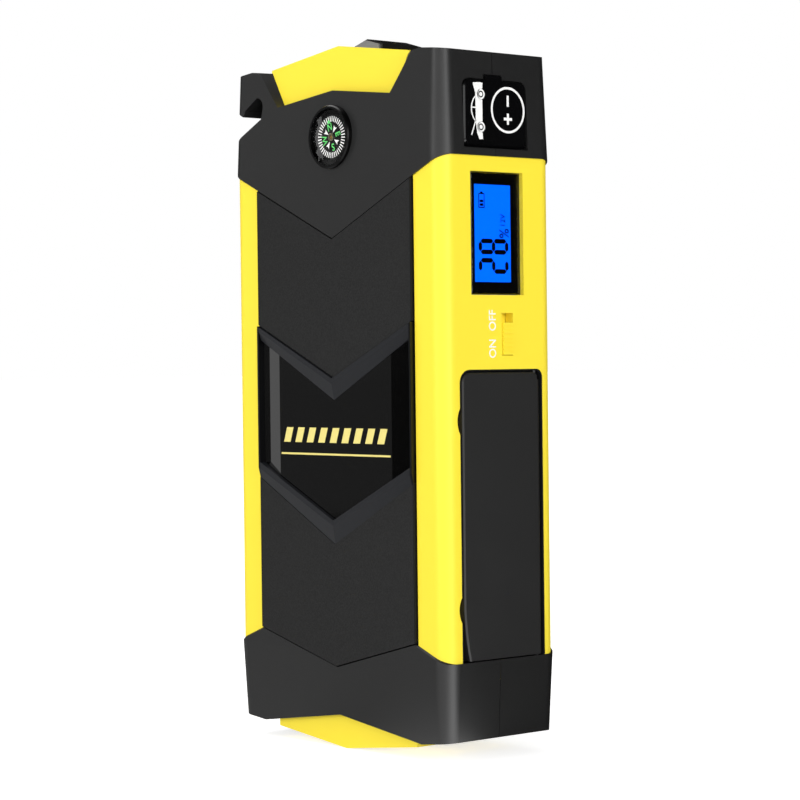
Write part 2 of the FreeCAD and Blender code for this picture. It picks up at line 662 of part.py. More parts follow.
def top_cap(label, front):
    """Half of the top cap: hook on the left, socket chamber on the right."""
    body = new_body(label)
    cap_blank(body, "top_edge", "roof_end", "top_tip - 1", "torch_peak")
    over = f"({HALF} + cap_proud + 1)"
    cut(body, "XZ_Plane", f"{FRONT} - cap_proud - 1", f"{REAR} + cap_proud + 1", [
        (f"-{over}", "roof_end"), ("-roof_ridge_x", "roof_ridge"), ("-neck_half", "roof_inner"),
        ("neck_half", "roof_inner"), ("roof_ridge_x", "roof_ridge"), (over, "roof_end"),
        (over, "torch_peak + cut_over"), (f"-{over}", "torch_peak + cut_over")])
    cut(body, "XZ_Plane", f"{FRONT} - cap_proud - 1", f"{REAR} + cap_proud + 1",
        [(f"-{over}", "top_tip - cut_over"), (over, "top_tip - cut_over"), (over, "top_edge"),
         (HALF, "top_edge"), ("0", "top_tip"), (f"-{HALF}", "top_edge"), (f"-{over}", "top_edge")])
    keep_half(body, front)
    cut(body, "XY_Plane", "top_tip - cut_over", "sleeve_head + seat_gap", sleeve_section("seat_gap"))
    core = "(neck_half + seat_gap)"
    deep = "(neck_front + seat_gap)"
    chamber = f"({HALF} + cap_proud - cap_wall)"
    cut(body, "XZ_Plane", f"-{deep}", deep, [
        (f"-{core}", "sleeve_head - 1"), (chamber, "sleeve_head - 1"), (chamber, "chamber_high"),
        (core, "chamber_high"), (core, "gable_peak + cut_over"), (f"-{core}", "gable_peak + cut_over")])
    end_opening(body, front)
    cut(body, "XZ_Plane", f"-{deep} - cut_over", f"{deep} + cut_over", throat_outline())
    blade_half = "(blade_thick / 2 + seat_gap)"
    cut(body, "XZ_Plane", f"cap_split - {blade_half}", f"cap_split + {blade_half}",
        blade_outline("seat_gap"))
    cut(body, "YZ_Plane", "cover_face - cover_thick_rubber - seat_gap", f"{HALF} + cap_proud + 1",
        cover_recess("seam_gap"))
    mouth = "(socket_wide / 2 + seat_gap)"
    tall = "(socket_tall / 2 + seat_gap)"
    cut(body, "YZ_Plane", f"{chamber} - 1", f"{HALF} + cap_proud + 1",
        rectangle(f"socket_y - {mouth}", f"socket_y + {mouth}", f"socket_z - {tall}",
                  f"socket_z + {tall}"))
    pivot = [(COVER_AXIS_X, COVER_AXIS_Z, "trunnion_r + pin_gap")]
    pin_end = "(seam_gap + cover_pin_long + seam_gap)"
    if front:
        cut(body, "XZ_Plane", f"cover_front - {pin_end}", "cover_front + 1", circles=pivot)
        cut(body, "XZ_Plane", f"{FRONT} - cap_proud - 1", "cap_split",
            circles=[("0", "compass_z", "compass_r + seat_gap")])
    else:
        cut(body, "XZ_Plane", "cover_rear - 1", f"cover_rear + {pin_end}", circles=pivot)
    screw_holes(body, front, "screw_top_z")
    return body


def bottom_cap(label, front):
    """Half of the foot cap, with the keel showing through the notch in its lower edge."""
    body = new_body(label)
    cap_blank(body, "foot_edge", "foot_corner", "foot_shoulder + 1", "seat_gap")
    over = f"({HALF} + cap_proud + 1)"
    rise = "((foot_corner - notch_end) / (body_width / 2 - notch_half))"
    outer = f"(notch_end + {rise} * ({over} - notch_half))"
    through = (f"{FRONT} - cap_proud - 1", f"{REAR} + cap_proud + 1")
    cut(body, "XZ_Plane", *through, [
        (f"-{over}", "-cut_over"), (over, "-cut_over"), (over, outer), ("notch_half", "notch_end"),
        ("0", "notch_peak"), ("-notch_half", "notch_end"), (f"-{over}", outer)])
    cut(body, "XZ_Plane", *through, [
        (over, "foot_edge"), (over, "foot_shoulder + cut_over"), (f"-{over}", "foot_shoulder + cut_over"),
        (f"-{over}", "foot_edge"), (f"-{HALF}", "foot_edge"), ("-panel_half", "foot_shoulder"),
        ("0", "foot_tip"), ("panel_half", "foot_shoulder"), (HALF, "foot_edge")])
    keep_half(body, front)
    if front:
        soften(body, "Chamfer", "cap_edge", shoulder_edge)
    cut(body, "XY_Plane", "sleeve_foot - seat_gap", "foot_shoulder + cut_over",
        sleeve_section("seat_gap"))
    core = "(neck_half + seat_gap)"
    deep = "(neck_front + seat_gap)"
    cut(body, "XZ_Plane", f"-{deep}", deep, rectangle(f"-{core}", core, "-cut_over", "sleeve_foot + 1"))
    screw_holes(body, front, "screw_foot_z")
    return body


def shoulder_edge(edge):
    """True for the two straight edges that fall from the foot cap's shoulders to its corners."""
    box = edge.BoundBox
    falls = box.ZMax - box.ZMin > number("foot_shoulder - foot_edge") / 2
    outward = box.XMin > number("panel_half - 0.1") or box.XMax < number("0.1 - panel_half")
    above = box.ZMin > number("foot_edge")
    return flat_at(edge, "y", f"{FRONT} - cap_proud") and falls and outward and above


def screw_holes(body, front, height):
    """Clearance holes and sunk seats in a rear half, or blind holes in a front half."""
    hole = [("-screw_x", height, "screw_r + pin_gap"), ("screw_x", height, "screw_r + pin_gap")]
    if front:
        cut(body, "XZ_Plane", f"{SCREW_SEAT} - screw_long - 1", "cap_split", circles=hole)
        return
    cut(body, "XZ_Plane", "cap_split", f"{REAR} + cap_proud + 1", circles=hole)
    sink = [(x, z, "screw_head_r + seat_gap") for x, z, _ in hole]
    cut(body, "XZ_Plane", SCREW_SEAT, f"{REAR} + cap_proud + 1", circles=sink)


def case_screws():
    """Four pan-head screws with a square drive, drawn in from the back."""
    screws = []
    for x in ("-screw_x", "screw_x"):
        for z in ("screw_top_z", "screw_foot_z"):
            head = rod("screw_head_part", "y", (x, z), SCREW_SEAT, f"{SCREW_SEAT} + screw_head",
                       "screw_head_r")
            shank = rod("screw_shank", "y", (x, z), f"{SCREW_SEAT} - screw_long", SCREW_SEAT, "screw_r")
            drive = block("screw_drive_part", (f"{x} - screw_drive", f"{x} + screw_drive"),
                          (f"{SCREW_SEAT} + screw_head - drive_deep", f"{SCREW_SEAT} + screw_head + 1"),
                          (f"{z} - screw_drive", f"{z} + screw_drive"))
            solid = combine("Fuse", "screw_solid", head, shank)
            screws.append(combine("Cut", "screw", solid, drive))
    return group("case_screws", screws)


def cutter_blade():
    """Steel blade clamped between the two halves of the top cap."""
    body = new_body("cutter_blade")
    pad(body, "XZ_Plane", "cap_split - blade_thick / 2", "cap_split + blade_thick / 2", blade_outline())
    edge_line = [(f"-blade_low_x - 1", "blade_low - 1"), ("-blade_low_x + 0.5", "blade_low - 1"),
                 ("-blade_high_x + 0.5", "blade_high + 1"), ("-blade_high_x - 1", "blade_high + 1")]
    cut(body, "XZ_Plane", "cap_split + blade_thick / 6", "cap_split + blade_thick", edge_line)
    cut(body, "XZ_Plane", "cap_split - blade_thick", "cap_split - blade_thick / 6", edge_line)
    return body


# ---------------------------------------------------------------- front and back panels

def upper_pad():
    """Textured panel between the top cap and the window."""
    body = new_body("upper_pad")
    pad(body, "XZ_Plane", f"{FRONT} - pad_proud", f"{FRONT} + panel_deep",
        chevron("upper_end", "upper_tip", TOP_LINE.format(x="panel_half") + " - seam_gap",
                "top_tip - seam_gap"))
    return body


def lower_pad():
    """Textured panel between the window and the foot cap."""
    body = new_body("lower_pad")
    pad(body, "XZ_Plane", f"{FRONT} - pad_proud", f"{FRONT} + panel_deep",
        chevron("foot_shoulder + seam_gap", "foot_tip + seam_gap", "lower_end - seat_gap",
                "lower_tip - seat_gap"))
    return body


def rear_pad():
    """Textured panel over the whole back."""
    body = new_body("rear_pad")
    pad(body, "XZ_Plane", f"{REAR} - panel_deep", f"{REAR} + pad_proud",
        chevron("foot_shoulder + seam_gap", "foot_tip + seam_gap",
                TOP_LINE.format(x="panel_half") + " - seam_gap", "top_tip - seam_gap"))
    return body


def window_frame():
    """Two V-shaped ridges joined by thin rails; each ridge has a long bevel on its lower side."""
    body = new_body("window_frame")
    face = f"({FRONT} - ridge_proud)"
    pad(body, "XZ_Plane", face, f"{FRONT} + panel_deep",
        chevron("lower_end", "lower_tip", "upper_end - seam_gap", "upper_tip - seam_gap"))
    inner = "(panel_half - rail)"
    pane = [
        (f"{FRONT} - window_proud",
         chevron("pane_low_end", "pane_low_tip", "pane_high_end", "pane_high_tip", inner)),
        (f"{FRONT} + panel_deep + 1",
         chevron("pane_low_end", "pane_low_tip", "pane_high_end", "pane_high_tip", inner)),
    ]
    loft(body, "Subtractive", "XZ_Plane", pane, ruled=True)
    mouth = [
        (face, chevron("pane_low_end", "pane_low_tip", "upper_end - seam_gap - ridge_flat",
                       "upper_tip - seam_gap - ridge_flat", inner)),
        (f"{FRONT} - window_proud",
         chevron("pane_low_end", "pane_low_tip", "pane_high_end", "pane_high_tip", inner)),
    ]
    loft(body, "Subtractive", "XZ_Plane", mouth, ruled=True)
    over = "(panel_half + 1)"
    skirt_end = "(pane_low_end - ridge_flat)"
    skirt_tip = "(pane_low_tip - ridge_flat)"
    slope = "((lower_end - lower_tip) / panel_half)"
    bevel = [
        (face, chevron(f"lower_tip + {slope} * {over} - cut_over", "lower_tip - cut_over",
                       f"{skirt_tip} + ({skirt_end} - {skirt_tip}) / panel_half * {over}", skirt_tip,
                       over)),
        (f"{FRONT} - pad_proud + 0.1",
         chevron(f"lower_tip + {slope} * {over} - cut_over", "lower_tip - cut_over",
                 f"lower_tip + {slope} * {over}", "lower_tip", over)),
    ]
    loft(body, "Subtractive", "XZ_Plane", bevel, ruled=True)
    return body


def window_plate():
    """Glossy plate with a flat middle and a falling facet along each side."""
    body = new_body("window_plate")
    half = "(panel_half - rail - seat_gap)"
    face = f"({FRONT} - window_proud)"
    pad(body, "XZ_Plane", face, f"{FRONT} + panel_deep",
        chevron("pane_low_end + seam_gap", "pane_low_tip + seam_gap", "pane_high_end - seat_gap",
                "pane_high_tip - seat_gap", half))
    for sign in ("", "-"):
        fall = [(f"{sign}facet_start", face), (f"{sign}{half}", f"{face} + facet_drop"),
                (f"{sign}({half} + 1)", f"{face} + facet_drop"), (f"{sign}({half} + 1)", f"{face} - 1"),
                (f"{sign}facet_start", f"{face} - 1")]
        cut(body, "XY_Plane", "pane_low_tip", "pane_high_end + 1", fall)
    return body


# ---------------------------------------------------------------- compass

def compass_cup():
    """Black cup whose rim stands a little proud of the cap."""
    body = new_body("compass_cup")
    mouth = f"({FRONT} - cap_proud - compass_rim)"
    bore = "(compass_r - bezel_lip)"
    seat = "(lens_seat + lens_thick)"
    turn(body, "Revolution", "YZ_Plane", "0", "compass_z", [
        ("-compass_back", "0"), ("-compass_back", "compass_r"), (f"{mouth} + cap_edge", "compass_r"),
        (mouth, "compass_r - cap_edge"), (mouth, bore),
        (f"{mouth} + {seat}", bore), (f"{mouth} + {seat}", f"{bore} - 0.3"),
        ("-compass_back - bezel_floor", f"{bore} - 0.3"), ("-compass_back - bezel_floor", "0")])
    return body


def compass_card():
    """Round card that turns on the pin."""
    body = new_body("compass_card")
    turn(body, "Revolution", "YZ_Plane", "0", "compass_z", [
        ("-card_front", "card_bore"), ("-card_front", "card_r"),
        ("-card_front + card_thick", "card_r"), ("-card_front + card_thick", "card_bore")])
    return body


def compass_pin():
    """Turned pin with a collar under the card."""
    body = new_body("compass_pin")
    low = "(-compass_back - bezel_floor)"
    shank = "(card_bore - pin_gap)"
    turn(body, "Revolution", "YZ_Plane", "0", "compass_z", [
        (low, "0"), (low, "pin_collar"), ("-card_front + card_thick + move_gap", "pin_collar"),
        ("-card_front + card_thick + move_gap", shank), ("-card_front - pin_show", shank),
        ("-card_front - pin_show", "0")])
    return body


def compass_lens():
    """Clear dome, turned in bands with a flat crown, pressed into the rim of the cup."""
    body = new_body("compass_lens")
    mouth = f"({FRONT} - cap_proud - compass_rim)"
    reach = "(compass_r - bezel_lip - seat_gap)"
    low = f"({mouth} + lens_seat + lens_thick)"
    bands = [(f"{mouth} + lens_seat - dome * {1 - share * share}", f"{reach} * {share}")
             for share in (1.0, 0.82, 0.6, 0.35)]
    crown = (bands[-1][0], "0")
    turn(body, "Revolution", "YZ_Plane", "0", "compass_z", [(low, "0"), (low, reach), *bands, crown])
    return body


# ---------------------------------------------------------------- display

COVER_FACE = f"({HALF} + lens_proud)"
MASK_FACE = f"({COVER_FACE} - cover_thick - seat_gap)"


def window_rectangle(inset):
    return rectangle(f"display_front + {inset}", f"display_rear - {inset}",
                     f"display_low + {inset}", f"display_high - {inset}")


def display_lens():
    """Clear cover flush with the side of the housing, with a ground edge."""
    body = new_body("display_lens")
    pad(body, "YZ_Plane", f"{COVER_FACE} - cover_thick", COVER_FACE, window_rectangle("seat_gap * 2"))
    soften(body, "Chamfer", "lens_bevel", lambda edge: flat_at(edge, "x", COVER_FACE))
    return body


def display_bezel():
    """Black mask behind the cover."""
    body = new_body("display_bezel")
    pad(body, "YZ_Plane", f"{MASK_FACE} - mask_thick", MASK_FACE, window_rectangle("seat_gap * 2"))
    cut(body, "YZ_Plane", f"{MASK_FACE} - mask_thick - 1", f"{MASK_FACE} + 1",
        rectangle("screen_front", "screen_rear", "screen_low", "screen_high"))
    return body


def display_screen():
    """Liquid crystal module, its face level with the mask."""
    body = new_body("display_screen")
    back = f"({MASK_FACE} - mask_thick - seat_gap)"
    pad(body, "YZ_Plane", f"{back} - module_thick", back, window_rectangle("seat_gap * 2"))
    gap = "seat_gap"
    pad(body, "YZ_Plane", f"{back} - 0.5", f"{MASK_FACE} - seat_gap",
        rectangle(f"screen_front + {gap}", f"screen_rear - {gap}", f"screen_low + {gap}",
                  f"screen_high - {gap}"))
    return body


# ---------------------------------------------------------------- slide switch

KNOB_LOW = "(slot_low + knob_side_gap)"
KNOB_HIGH = "(slot_low + knob_side_gap + knob_long)"
FLANGE_FACE = f"({SIDE_IN} - move_gap)"
SLOT_MID = "((slot_front + slot_rear) / 2)"
PEG_MID = f"({KNOB_LOW} + knob_long / 2)"
KNOB_TRAVEL = "(slot_high - slot_low - knob_long - 2 * knob_side_gap)"


def switch_knob():
    """Ribbed slider with a flange that keeps it behind the wall and a peg into the switch."""
    body = new_body("switch_knob")
    face = f"({HALF} + knob_proud)"
    pad(body, "YZ_Plane", f"{FLANGE_FACE} - 0.5", face,
        rectangle("slot_front + knob_side_gap", "slot_rear - knob_side_gap", KNOB_LOW, KNOB_HIGH))
    pad(body, "YZ_Plane", f"{FLANGE_FACE} - flange_thick", FLANGE_FACE,
        rectangle("slot_front - flange_side", "slot_rear + flange_side", "slot_low - flange_low",
                  f"{KNOB_HIGH} + flange_high"))
    pad(body, "YZ_Plane", f"{FLANGE_FACE} - flange_thick - peg_deep", f"{FLANGE_FACE} - 0.5",
        rectangle(f"{SLOT_MID} - peg_wide / 2", f"{SLOT_MID} + peg_wide / 2",
                  f"{PEG_MID} - peg_long / 2", f"{PEG_MID} + peg_long / 2"))
    first = f"({KNOB_LOW} + rib_pitch / 2 - rib_groove / 2 + 0.2)"
    groove = cut(body, "YZ_Plane", f"{face} - rib_deep", f"{face} + 1",
                 rectangle("slot_front - 1", "slot_rear + 1", first, f"{first} + rib_groove"))
    ribs = body.newObject("PartDesign::LinearPattern", "knob_ribs")
    ribs.Originals = [groove]
    ribs.Direction = (groove.Profile[0], ["V_Axis"])
    count = max(int((number("knob_long") - number("rib_pitch") / 2) / number("rib_pitch")), 2)
    ribs.Occurrences = count
    ribs.setExpression("Length", f"{bound('rib_pitch')} * {count - 1}")
    body.Tip = ribs
    doc.recompute()
    return body


def switch_body():
    """Slide switch on the board; the knob's peg runs in its slot."""
    body = new_body("switch_body")
    face = f"({FLANGE_FACE} - flange_thick - move_gap)"
    half = "(peg_wide / 2 + move_gap)"
    side = f"({half} + switch_wall)"
    low = f"({PEG_MID} - peg_long / 2 - move_gap)"
    high = f"({PEG_MID} + peg_long / 2 + {KNOB_TRAVEL} + move_gap)"
    pad(body, "YZ_Plane", "board_face + seat_gap", face,
        rectangle(f"{SLOT_MID} - {side}", f"{SLOT_MID} + {side}", f"{low} - switch_wall",
                  f"{high} + switch_wall"))
    cut(body, "YZ_Plane", f"{face} - peg_deep", f"{face} + 1",
        rectangle(f"{SLOT_MID} - {half}", f"{SLOT_MID} + {half}", low, high))
    return body


# ---------------------------------------------------------------- port bay

DOOR_FACE = f"({HALF} + door_proud)"
DOOR_AXIS_X = f"({DOOR_FACE} - door_thick / 2)"
DOOR_AXIS_Y = "(door_rear - door_thick / 2)"
DOOR_PIN_TOP = "(door_high + door_gap + trunnion_long)"


def port_door():
    """Rubber door: rounded hinge edge at the rear with a trunnion at each end."""
    body = new_body("port_door")
    curl_r = "((door_curl_high - door_low) * (door_curl_high - door_low) / (2 * door_curl))"
    level = "(hinge_corner - door_thick / 2)"
    shoulder = f"(door_high - hinge_corner + sqrt(hinge_corner * hinge_corner - {level} * {level}))"
    pad(body, "YZ_Plane", f"{DOOR_FACE} - door_thick", DOOR_FACE, [
        ("door_front + door_curl", "door_low"), (DOOR_AXIS_Y, "door_low"),
        (DOOR_AXIS_Y, shoulder, "hinge_corner", 1), ("door_rear - hinge_corner", "door_high"),
        ("door_front + door_corner", "door_high", "door_corner", 1),
        ("door_front", "door_high - door_corner"), ("door_front", "door_curl_high", curl_r, 1)])
    soften(body, "Chamfer", "rubber_edge", lambda edge: flat_at(edge, "x", DOOR_FACE)
           and not flat_at(edge, "y", DOOR_AXIS_Y) and not flat_at(edge, "z", "door_low"))
    axis = (DOOR_AXIS_X, DOOR_AXIS_Y)
    pad(body, "XY_Plane", "door_low", "door_high - knuckle_drop", circles=[(*axis, "door_thick / 2")])
    pad(body, "XY_Plane", "door_high - knuckle_drop - 1", "door_high - knuckle_drop / 2",
        circles=[(*axis, "knuckle_r")])
    pad(body, "XY_Plane", "bay_low - trunnion_long", "door_low + 1", circles=[(*axis, "trunnion_r")])
    pad(body, "XY_Plane", "door_high - 1", DOOR_PIN_TOP, circles=[(*axis, "trunnion_r")])
    return body


def port_plate():
    """Moulded tray behind the door that carries the sockets; its collar lines the opening."""
    body = new_body("port_plate")
    face = f"({SIDE_IN} - seat_gap)"
    low = "(bay_low - plate_rim)"
    high = "(door_high + door_gap + plate_rim)"
    pad(body, "YZ_Plane", "plate_back", face,
        rectangle(f"{FRONT} + wall + seat_gap", "split - seat_gap", low, high))
    pad(body, "YZ_Plane", f"{face} - 0.5", f"{HALF} - seat_gap", bay_outline("liner"))
    cut(body, "YZ_Plane", "bay_floor", f"{HALF} + 1", bay_outline())
    for place in nail_scoops():
        cut(body, "YZ_Plane", f"{HALF} - nail_deep", f"{HALF} + 1", circles=[place])
    hole = [(DOOR_AXIS_X, DOOR_AXIS_Y, "trunnion_r + pin_gap")]
    cut(body, "XY_Plane", "bay_low - liner - 1", "bay_low + 1", circles=hole)
    cut(body, "XY_Plane", "door_high", DOOR_PIN_TOP, circles=hole)
    half = "(usb_wide / 2 + seat_gap)"
    rise = "(usb_tall / 2 + seat_gap)"
    slot = cut(body, "YZ_Plane", "plate_back - 1", "bay_floor + 1",
               rectangle(f"port_y - {half}", f"port_y + {half}", f"usb_top - {rise}",
                         f"usb_top + {rise}"))
    row = body.newObject("PartDesign::LinearPattern", "usb_row")
    row.Originals = [slot]
    row.Direction = (slot.Profile[0], ["V_Axis"])
    row.Reversed = True
    row.Occurrences = usb_count()
    row.setExpression("Length", f"{bound('usb_pitch')} * {usb_count() - 1}")
    body.Tip = row
    doc.recompute()
    cut(body, "YZ_Plane", "plate_back - 1", "bay_floor + 1", circles=[
        ("out_jack_y", "jack_z", "out_jack_r + seat_gap"), ("in_jack_y", "jack_z",
                                                            "in_jack_r + seat_gap"),
        ("port_y", "button_z", "button_r + move_gap")])
    return body


USB_BACK = "(board_face + seam_gap)"


def usb_count():
    """As many ports as there is room for above the power jacks."""
    room = number("usb_top - usb_tall / 2 - jack_z - out_jack_r - plate_rim")
    return 1 + int(room / number("usb_pitch"))


def usb_shells():
    """Four sheet-metal shells, each a box open at the mouth."""
    shells = []
    for index in range(usb_count()):
        z = f"(usb_top - usb_pitch * {index})"
        mouth = "(bay_floor + usb_proud)"
        outer = block("usb_outer", (USB_BACK, mouth), ("port_y - usb_wide / 2", "port_y + usb_wide / 2"),
                      (f"{z} - usb_tall / 2", f"{z} + usb_tall / 2"))
        inner = block("usb_inner", (f"{USB_BACK} + usb_skin", f"{mouth} + 1"),
                      ("port_y - usb_wide / 2 + usb_skin", "port_y + usb_wide / 2 - usb_skin"),
                      (f"{z} - usb_tall / 2 + usb_skin", f"{z} + usb_tall / 2 - usb_skin"))
        shells.append(combine("Cut", "usb_shell", outer, inner))
    return group("usb_shells", shells)


def usb_tongues():
    """Insulating tongues inside the shells, standing on their back walls."""
    tongues = []
    for index in range(usb_count()):
        z = f"(usb_top - usb_pitch * {index} + tongue_up)"
        tongues.append(block("usb_tongue", (f"{USB_BACK} + usb_skin", "bay_floor - tongue_back"),
                             ("port_y - tongue_wide / 2", "port_y + tongue_wide / 2"),
                             (f"{z} - tongue_tall / 2", f"{z} + tongue_tall / 2")))
    return group("usb_tongues", tongues)


def power_jack(label, y, radius, bore):
    """Round power jack: square body on the board and a collar through the plate."""
    body = new_body(label)
    mouth = "(bay_floor + usb_proud)"
    pad(body, "YZ_Plane", USB_BACK, "plate_back - seat_gap",
        rectangle(f"{y} - {radius} - 0.4", f"{y} + {radius} + 0.4", f"jack_z - {radius} - 0.4",
                  f"jack_z + {radius} + 0.4"))
    pad(body, "YZ_Plane", "plate_back - 1", mouth, circles=[(y, "jack_z", radius)])
    cut(body, "YZ_Plane", f"{mouth} - jack_bore", f"{mouth} + 1", circles=[(y, "jack_z", bore)])
    return body


def jack_pins():
    """Centre pins of the two jacks."""
    floor = "(bay_floor + usb_proud - jack_bore)"
    pins = [
        rod("out_pin", "x", ("out_jack_y", "jack_z"), floor, "bay_floor - 0.7", "out_pin_r"),
        rod("in_pin", "x", ("in_jack_y", "jack_z"), floor, "bay_floor - 0.7", "in_pin_r"),
    ]
    return group("jack_pins", pins)


def torch_button():
    """Push button with a broken edge and a flange that stops it against the plate."""
    body = new_body("torch_button")
    flange = "(plate_back - move_gap)"
    face = "(bay_floor + button_proud)"
    turn(body, "Revolution", "XZ_Plane", "port_y", "button_z", [
        (f"{flange} - button_rim", "0"), (face, "0"), (face, "button_r - button_edge"),
        (f"{face} - button_edge", "button_r"),
        (flange, "button_r"), (flange, "button_flange"),
        (f"{flange} - button_rim", "button_flange")])
    return body


# ---------------------------------------------------------------- cells and board

def circuit_board():
    """Board along the right side with the post of the push switch."""
    body = new_body("circuit_board")
    back = "(board_face - board_thick)"
    pad(body, "YZ_Plane", back, "board_face",
        rectangle("board_front", "board_rear", "board_low", "board_high"))
    top = "(plate_back - move_gap - button_rim - button_travel - move_gap)"
    pad(body, "YZ_Plane", "board_face - 0.5", top,
        rectangle("port_y - post_side / 2", "port_y + post_side / 2", "button_z - post_side / 2",
                  "button_z + post_side / 2"))
    return body


def battery_cells():
    """Three flat pouch cells, face to face."""
    cells = []
    for index in (-1, 0, 1):
        middle = f"(cell_thick * {index})"
        plain = block("cell_block", ("cell_left", "cell_right"),
                      (f"{middle} - cell_thick / 2", f"{middle} + cell_thick / 2"),
                      ("cell_low", "cell_high"))
        doc.recompute()
        cell = doc.addObject("Part::Chamfer", "cell")
        cell.Base = plain
        edges = [i for i, edge in enumerate(plain.Shape.Edges, 1) if along(edge, "z")]
        cell.Edges = [(i, number("cell_edge"), number("cell_edge")) for i in edges]
        cells.append(cell)
    return group("battery_cells", cells)


def foam_pads():
    """Foam between the cell stack and the two walls."""
    stack = "(cell_thick * 1.5)"
    x = ("cell_left + foam_inset", "cell_right - foam_inset")
    z = ("cell_low + foam_inset", "cell_high - foam_inset")
    front = block("foam_front", x, (f"{FRONT} + wall", f"-{stack}"), z)
    rear = block("foam_rear", x, (stack, "split"), z)
    return group("foam_pads", [front, rear])


def battery_straps():
    """Copper straps from the cell stack up to the starter socket."""
    straps = []
    for sign in ("-", "+"):
        y = f"(socket_y {sign} pole_pitch / 2)"
        wide = (f"{y} - strap_wide / 2", f"{y} + strap_wide / 2")
        foot = block("strap_foot", ("strap_left", STRAP_FACE), wide,
                     ("cell_high", "cell_high + strap_thick"))
        riser = block("strap_riser", (f"{STRAP_FACE} - strap_thick", STRAP_FACE), wide,
                      ("cell_high", "socket_z + tab_wide / 2"))
        straps.append(combine("Fuse", "strap", foot, riser))
    return group("battery_straps", straps)


# ---------------------------------------------------------------- starter socket

STRAP_FACE = "(socket_back - tab_long)"
COVER_AXIS_X = "(cover_face - cover_thick_rubber / 2)"
COVER_AXIS_Z = "(cover_low + cover_thick_rubber / 2)"
SCREW_SEAT = f"({REAR} + cap_proud - screw_sink - screw_head)"


def pole_places():
    return [(f"socket_y {sign} pole_pitch / 2", "socket_z") for sign in ("-", "+")]


def jump_socket():
    """Two-pole socket block; two cut corners stop the plug going in upside down."""
    body = new_body("jump_socket")
    half = "(socket_wide / 2)"
    tall = "(socket_tall / 2)"
    pad(body, "YZ_Plane", "socket_back", "socket_face", [
        (f"socket_y - {half}", f"socket_z - {tall}"), (f"socket_y + {half}", f"socket_z - {tall}"),
        (f"socket_y + {half}", f"socket_z + {tall} - socket_key"),
        (f"socket_y + {half} - socket_key", f"socket_z + {tall}"),
        (f"socket_y - {half} + socket_key", f"socket_z + {tall}"),
        (f"socket_y - {half}", f"socket_z + {tall} - socket_key")])
    bores = [(y, z, "pole_r + seat_gap") for y, z in pole_places()]
    cut(body, "YZ_Plane", "socket_back + pole_floor", "socket_face + 1", circles=bores)
    for y, z in pole_places():
        cut(body, "YZ_Plane", "socket_back - 1", "socket_back + pole_floor + 1",
            rectangle(f"{y} - tab_wide / 2 - seat_gap", f"{y} + tab_wide / 2 + seat_gap",
                      f"{z} - tab_thick / 2 - seat_gap", f"{z} + tab_thick / 2 + seat_gap"))
    return body


def jump_contacts():
    """Two gold-plated bullet sleeves with flat solder tabs."""
    mouth = "(socket_face - pole_inset)"
    back = "(socket_back + pole_floor)"
    contacts = []
    for place in pole_places():
        sleeve = rod("pole_sleeve", "x", place, back, mouth, "pole_r")
        bore = rod("pole_bore_part", "x", place, f"{mouth} - pole_deep", f"{mouth} + 1", "pole_bore")
        y, z = place
        tab = block("pole_tab", (STRAP_FACE, f"{back} + 0.5"),
                    (f"{y} - tab_wide / 2", f"{y} + tab_wide / 2"),
                    (f"{z} - tab_thick / 2", f"{z} + tab_thick / 2"))
        hollow = combine("Cut", "pole_tube", sleeve, bore)
        contacts.append(combine("Fuse", "contact", hollow, tab))
    return group("jump_contacts", contacts)


def socket_cover():
    """Rubber cover that swings down on its lower edge, with a thumb tab on top."""
    body = new_body("socket_cover")
    pad(body, "YZ_Plane", "cover_face - cover_thick_rubber", "cover_face", [
        ("cover_front + cover_turn", COVER_AXIS_Z),
        ("cover_rear - cover_turn", COVER_AXIS_Z, "cover_turn", 1),
        ("cover_rear", f"{COVER_AXIS_Z} + cover_turn"),
        ("cover_rear", "cover_high - cover_corner", "cover_corner", 1),
        ("cover_rear - cover_corner", "cover_high"), ("tab_rear", "cover_high"),
        ("tab_rear", "tab_high"), ("tab_front", "tab_high"), ("tab_front", "cover_high"),
        ("cover_front + cover_corner", "cover_high", "cover_corner", 1),
        ("cover_front", "cover_high - cover_corner"),
        ("cover_front", f"{COVER_AXIS_Z} + cover_turn", "cover_turn", 1)])
    soften(body, "Chamfer", "rubber_edge", lambda edge: flat_at(edge, "x", "cover_face")
           and (edge.BoundBox.YMax < number("tab_front - 1") or edge.BoundBox.YMin > number("tab_rear + 1"))
           and not flat_at(edge, "z", "cover_high"))
    axis = (COVER_AXIS_X, COVER_AXIS_Z)
    pad(body, "XZ_Plane", "cover_front + cover_turn", "cover_rear - cover_turn",
        circles=[(*axis, "cover_thick_rubber / 2")])
    pad(body, "XZ_Plane", "cover_front - seam_gap - cover_pin_long",
        "cover_rear + seam_gap + cover_pin_long", circles=[(*axis, "trunnion_r")])
    return body


# ---------------------------------------------------------------- torch

def torch_roof(x, drop="0"):
    return f"(torch_peak - torch_slope * ({x}) - ({drop}))"


def torch_bezel():
    """Roof-shaped frame round the torch lens, seated on the gable."""
    body = new_body("torch_bezel")
    gable = GABLE.format(x="torch_half")
    pad(body, "XZ_Plane", "-torch_long", "torch_long", mirrored([
        ("0", "gable_peak + seat_gap"), ("torch_half", f"{gable} + seat_gap"),
        ("torch_half", torch_roof("torch_half")), ("0", "torch_peak")]))
    across = "(torch_half - torch_border)"
    deep = "(torch_long - torch_border)"
    cut(body, "XY_Plane", "gable_peak - 2", "torch_peak + 1",
        rectangle(f"-{across}", across, f"-{deep}", deep))
    return body


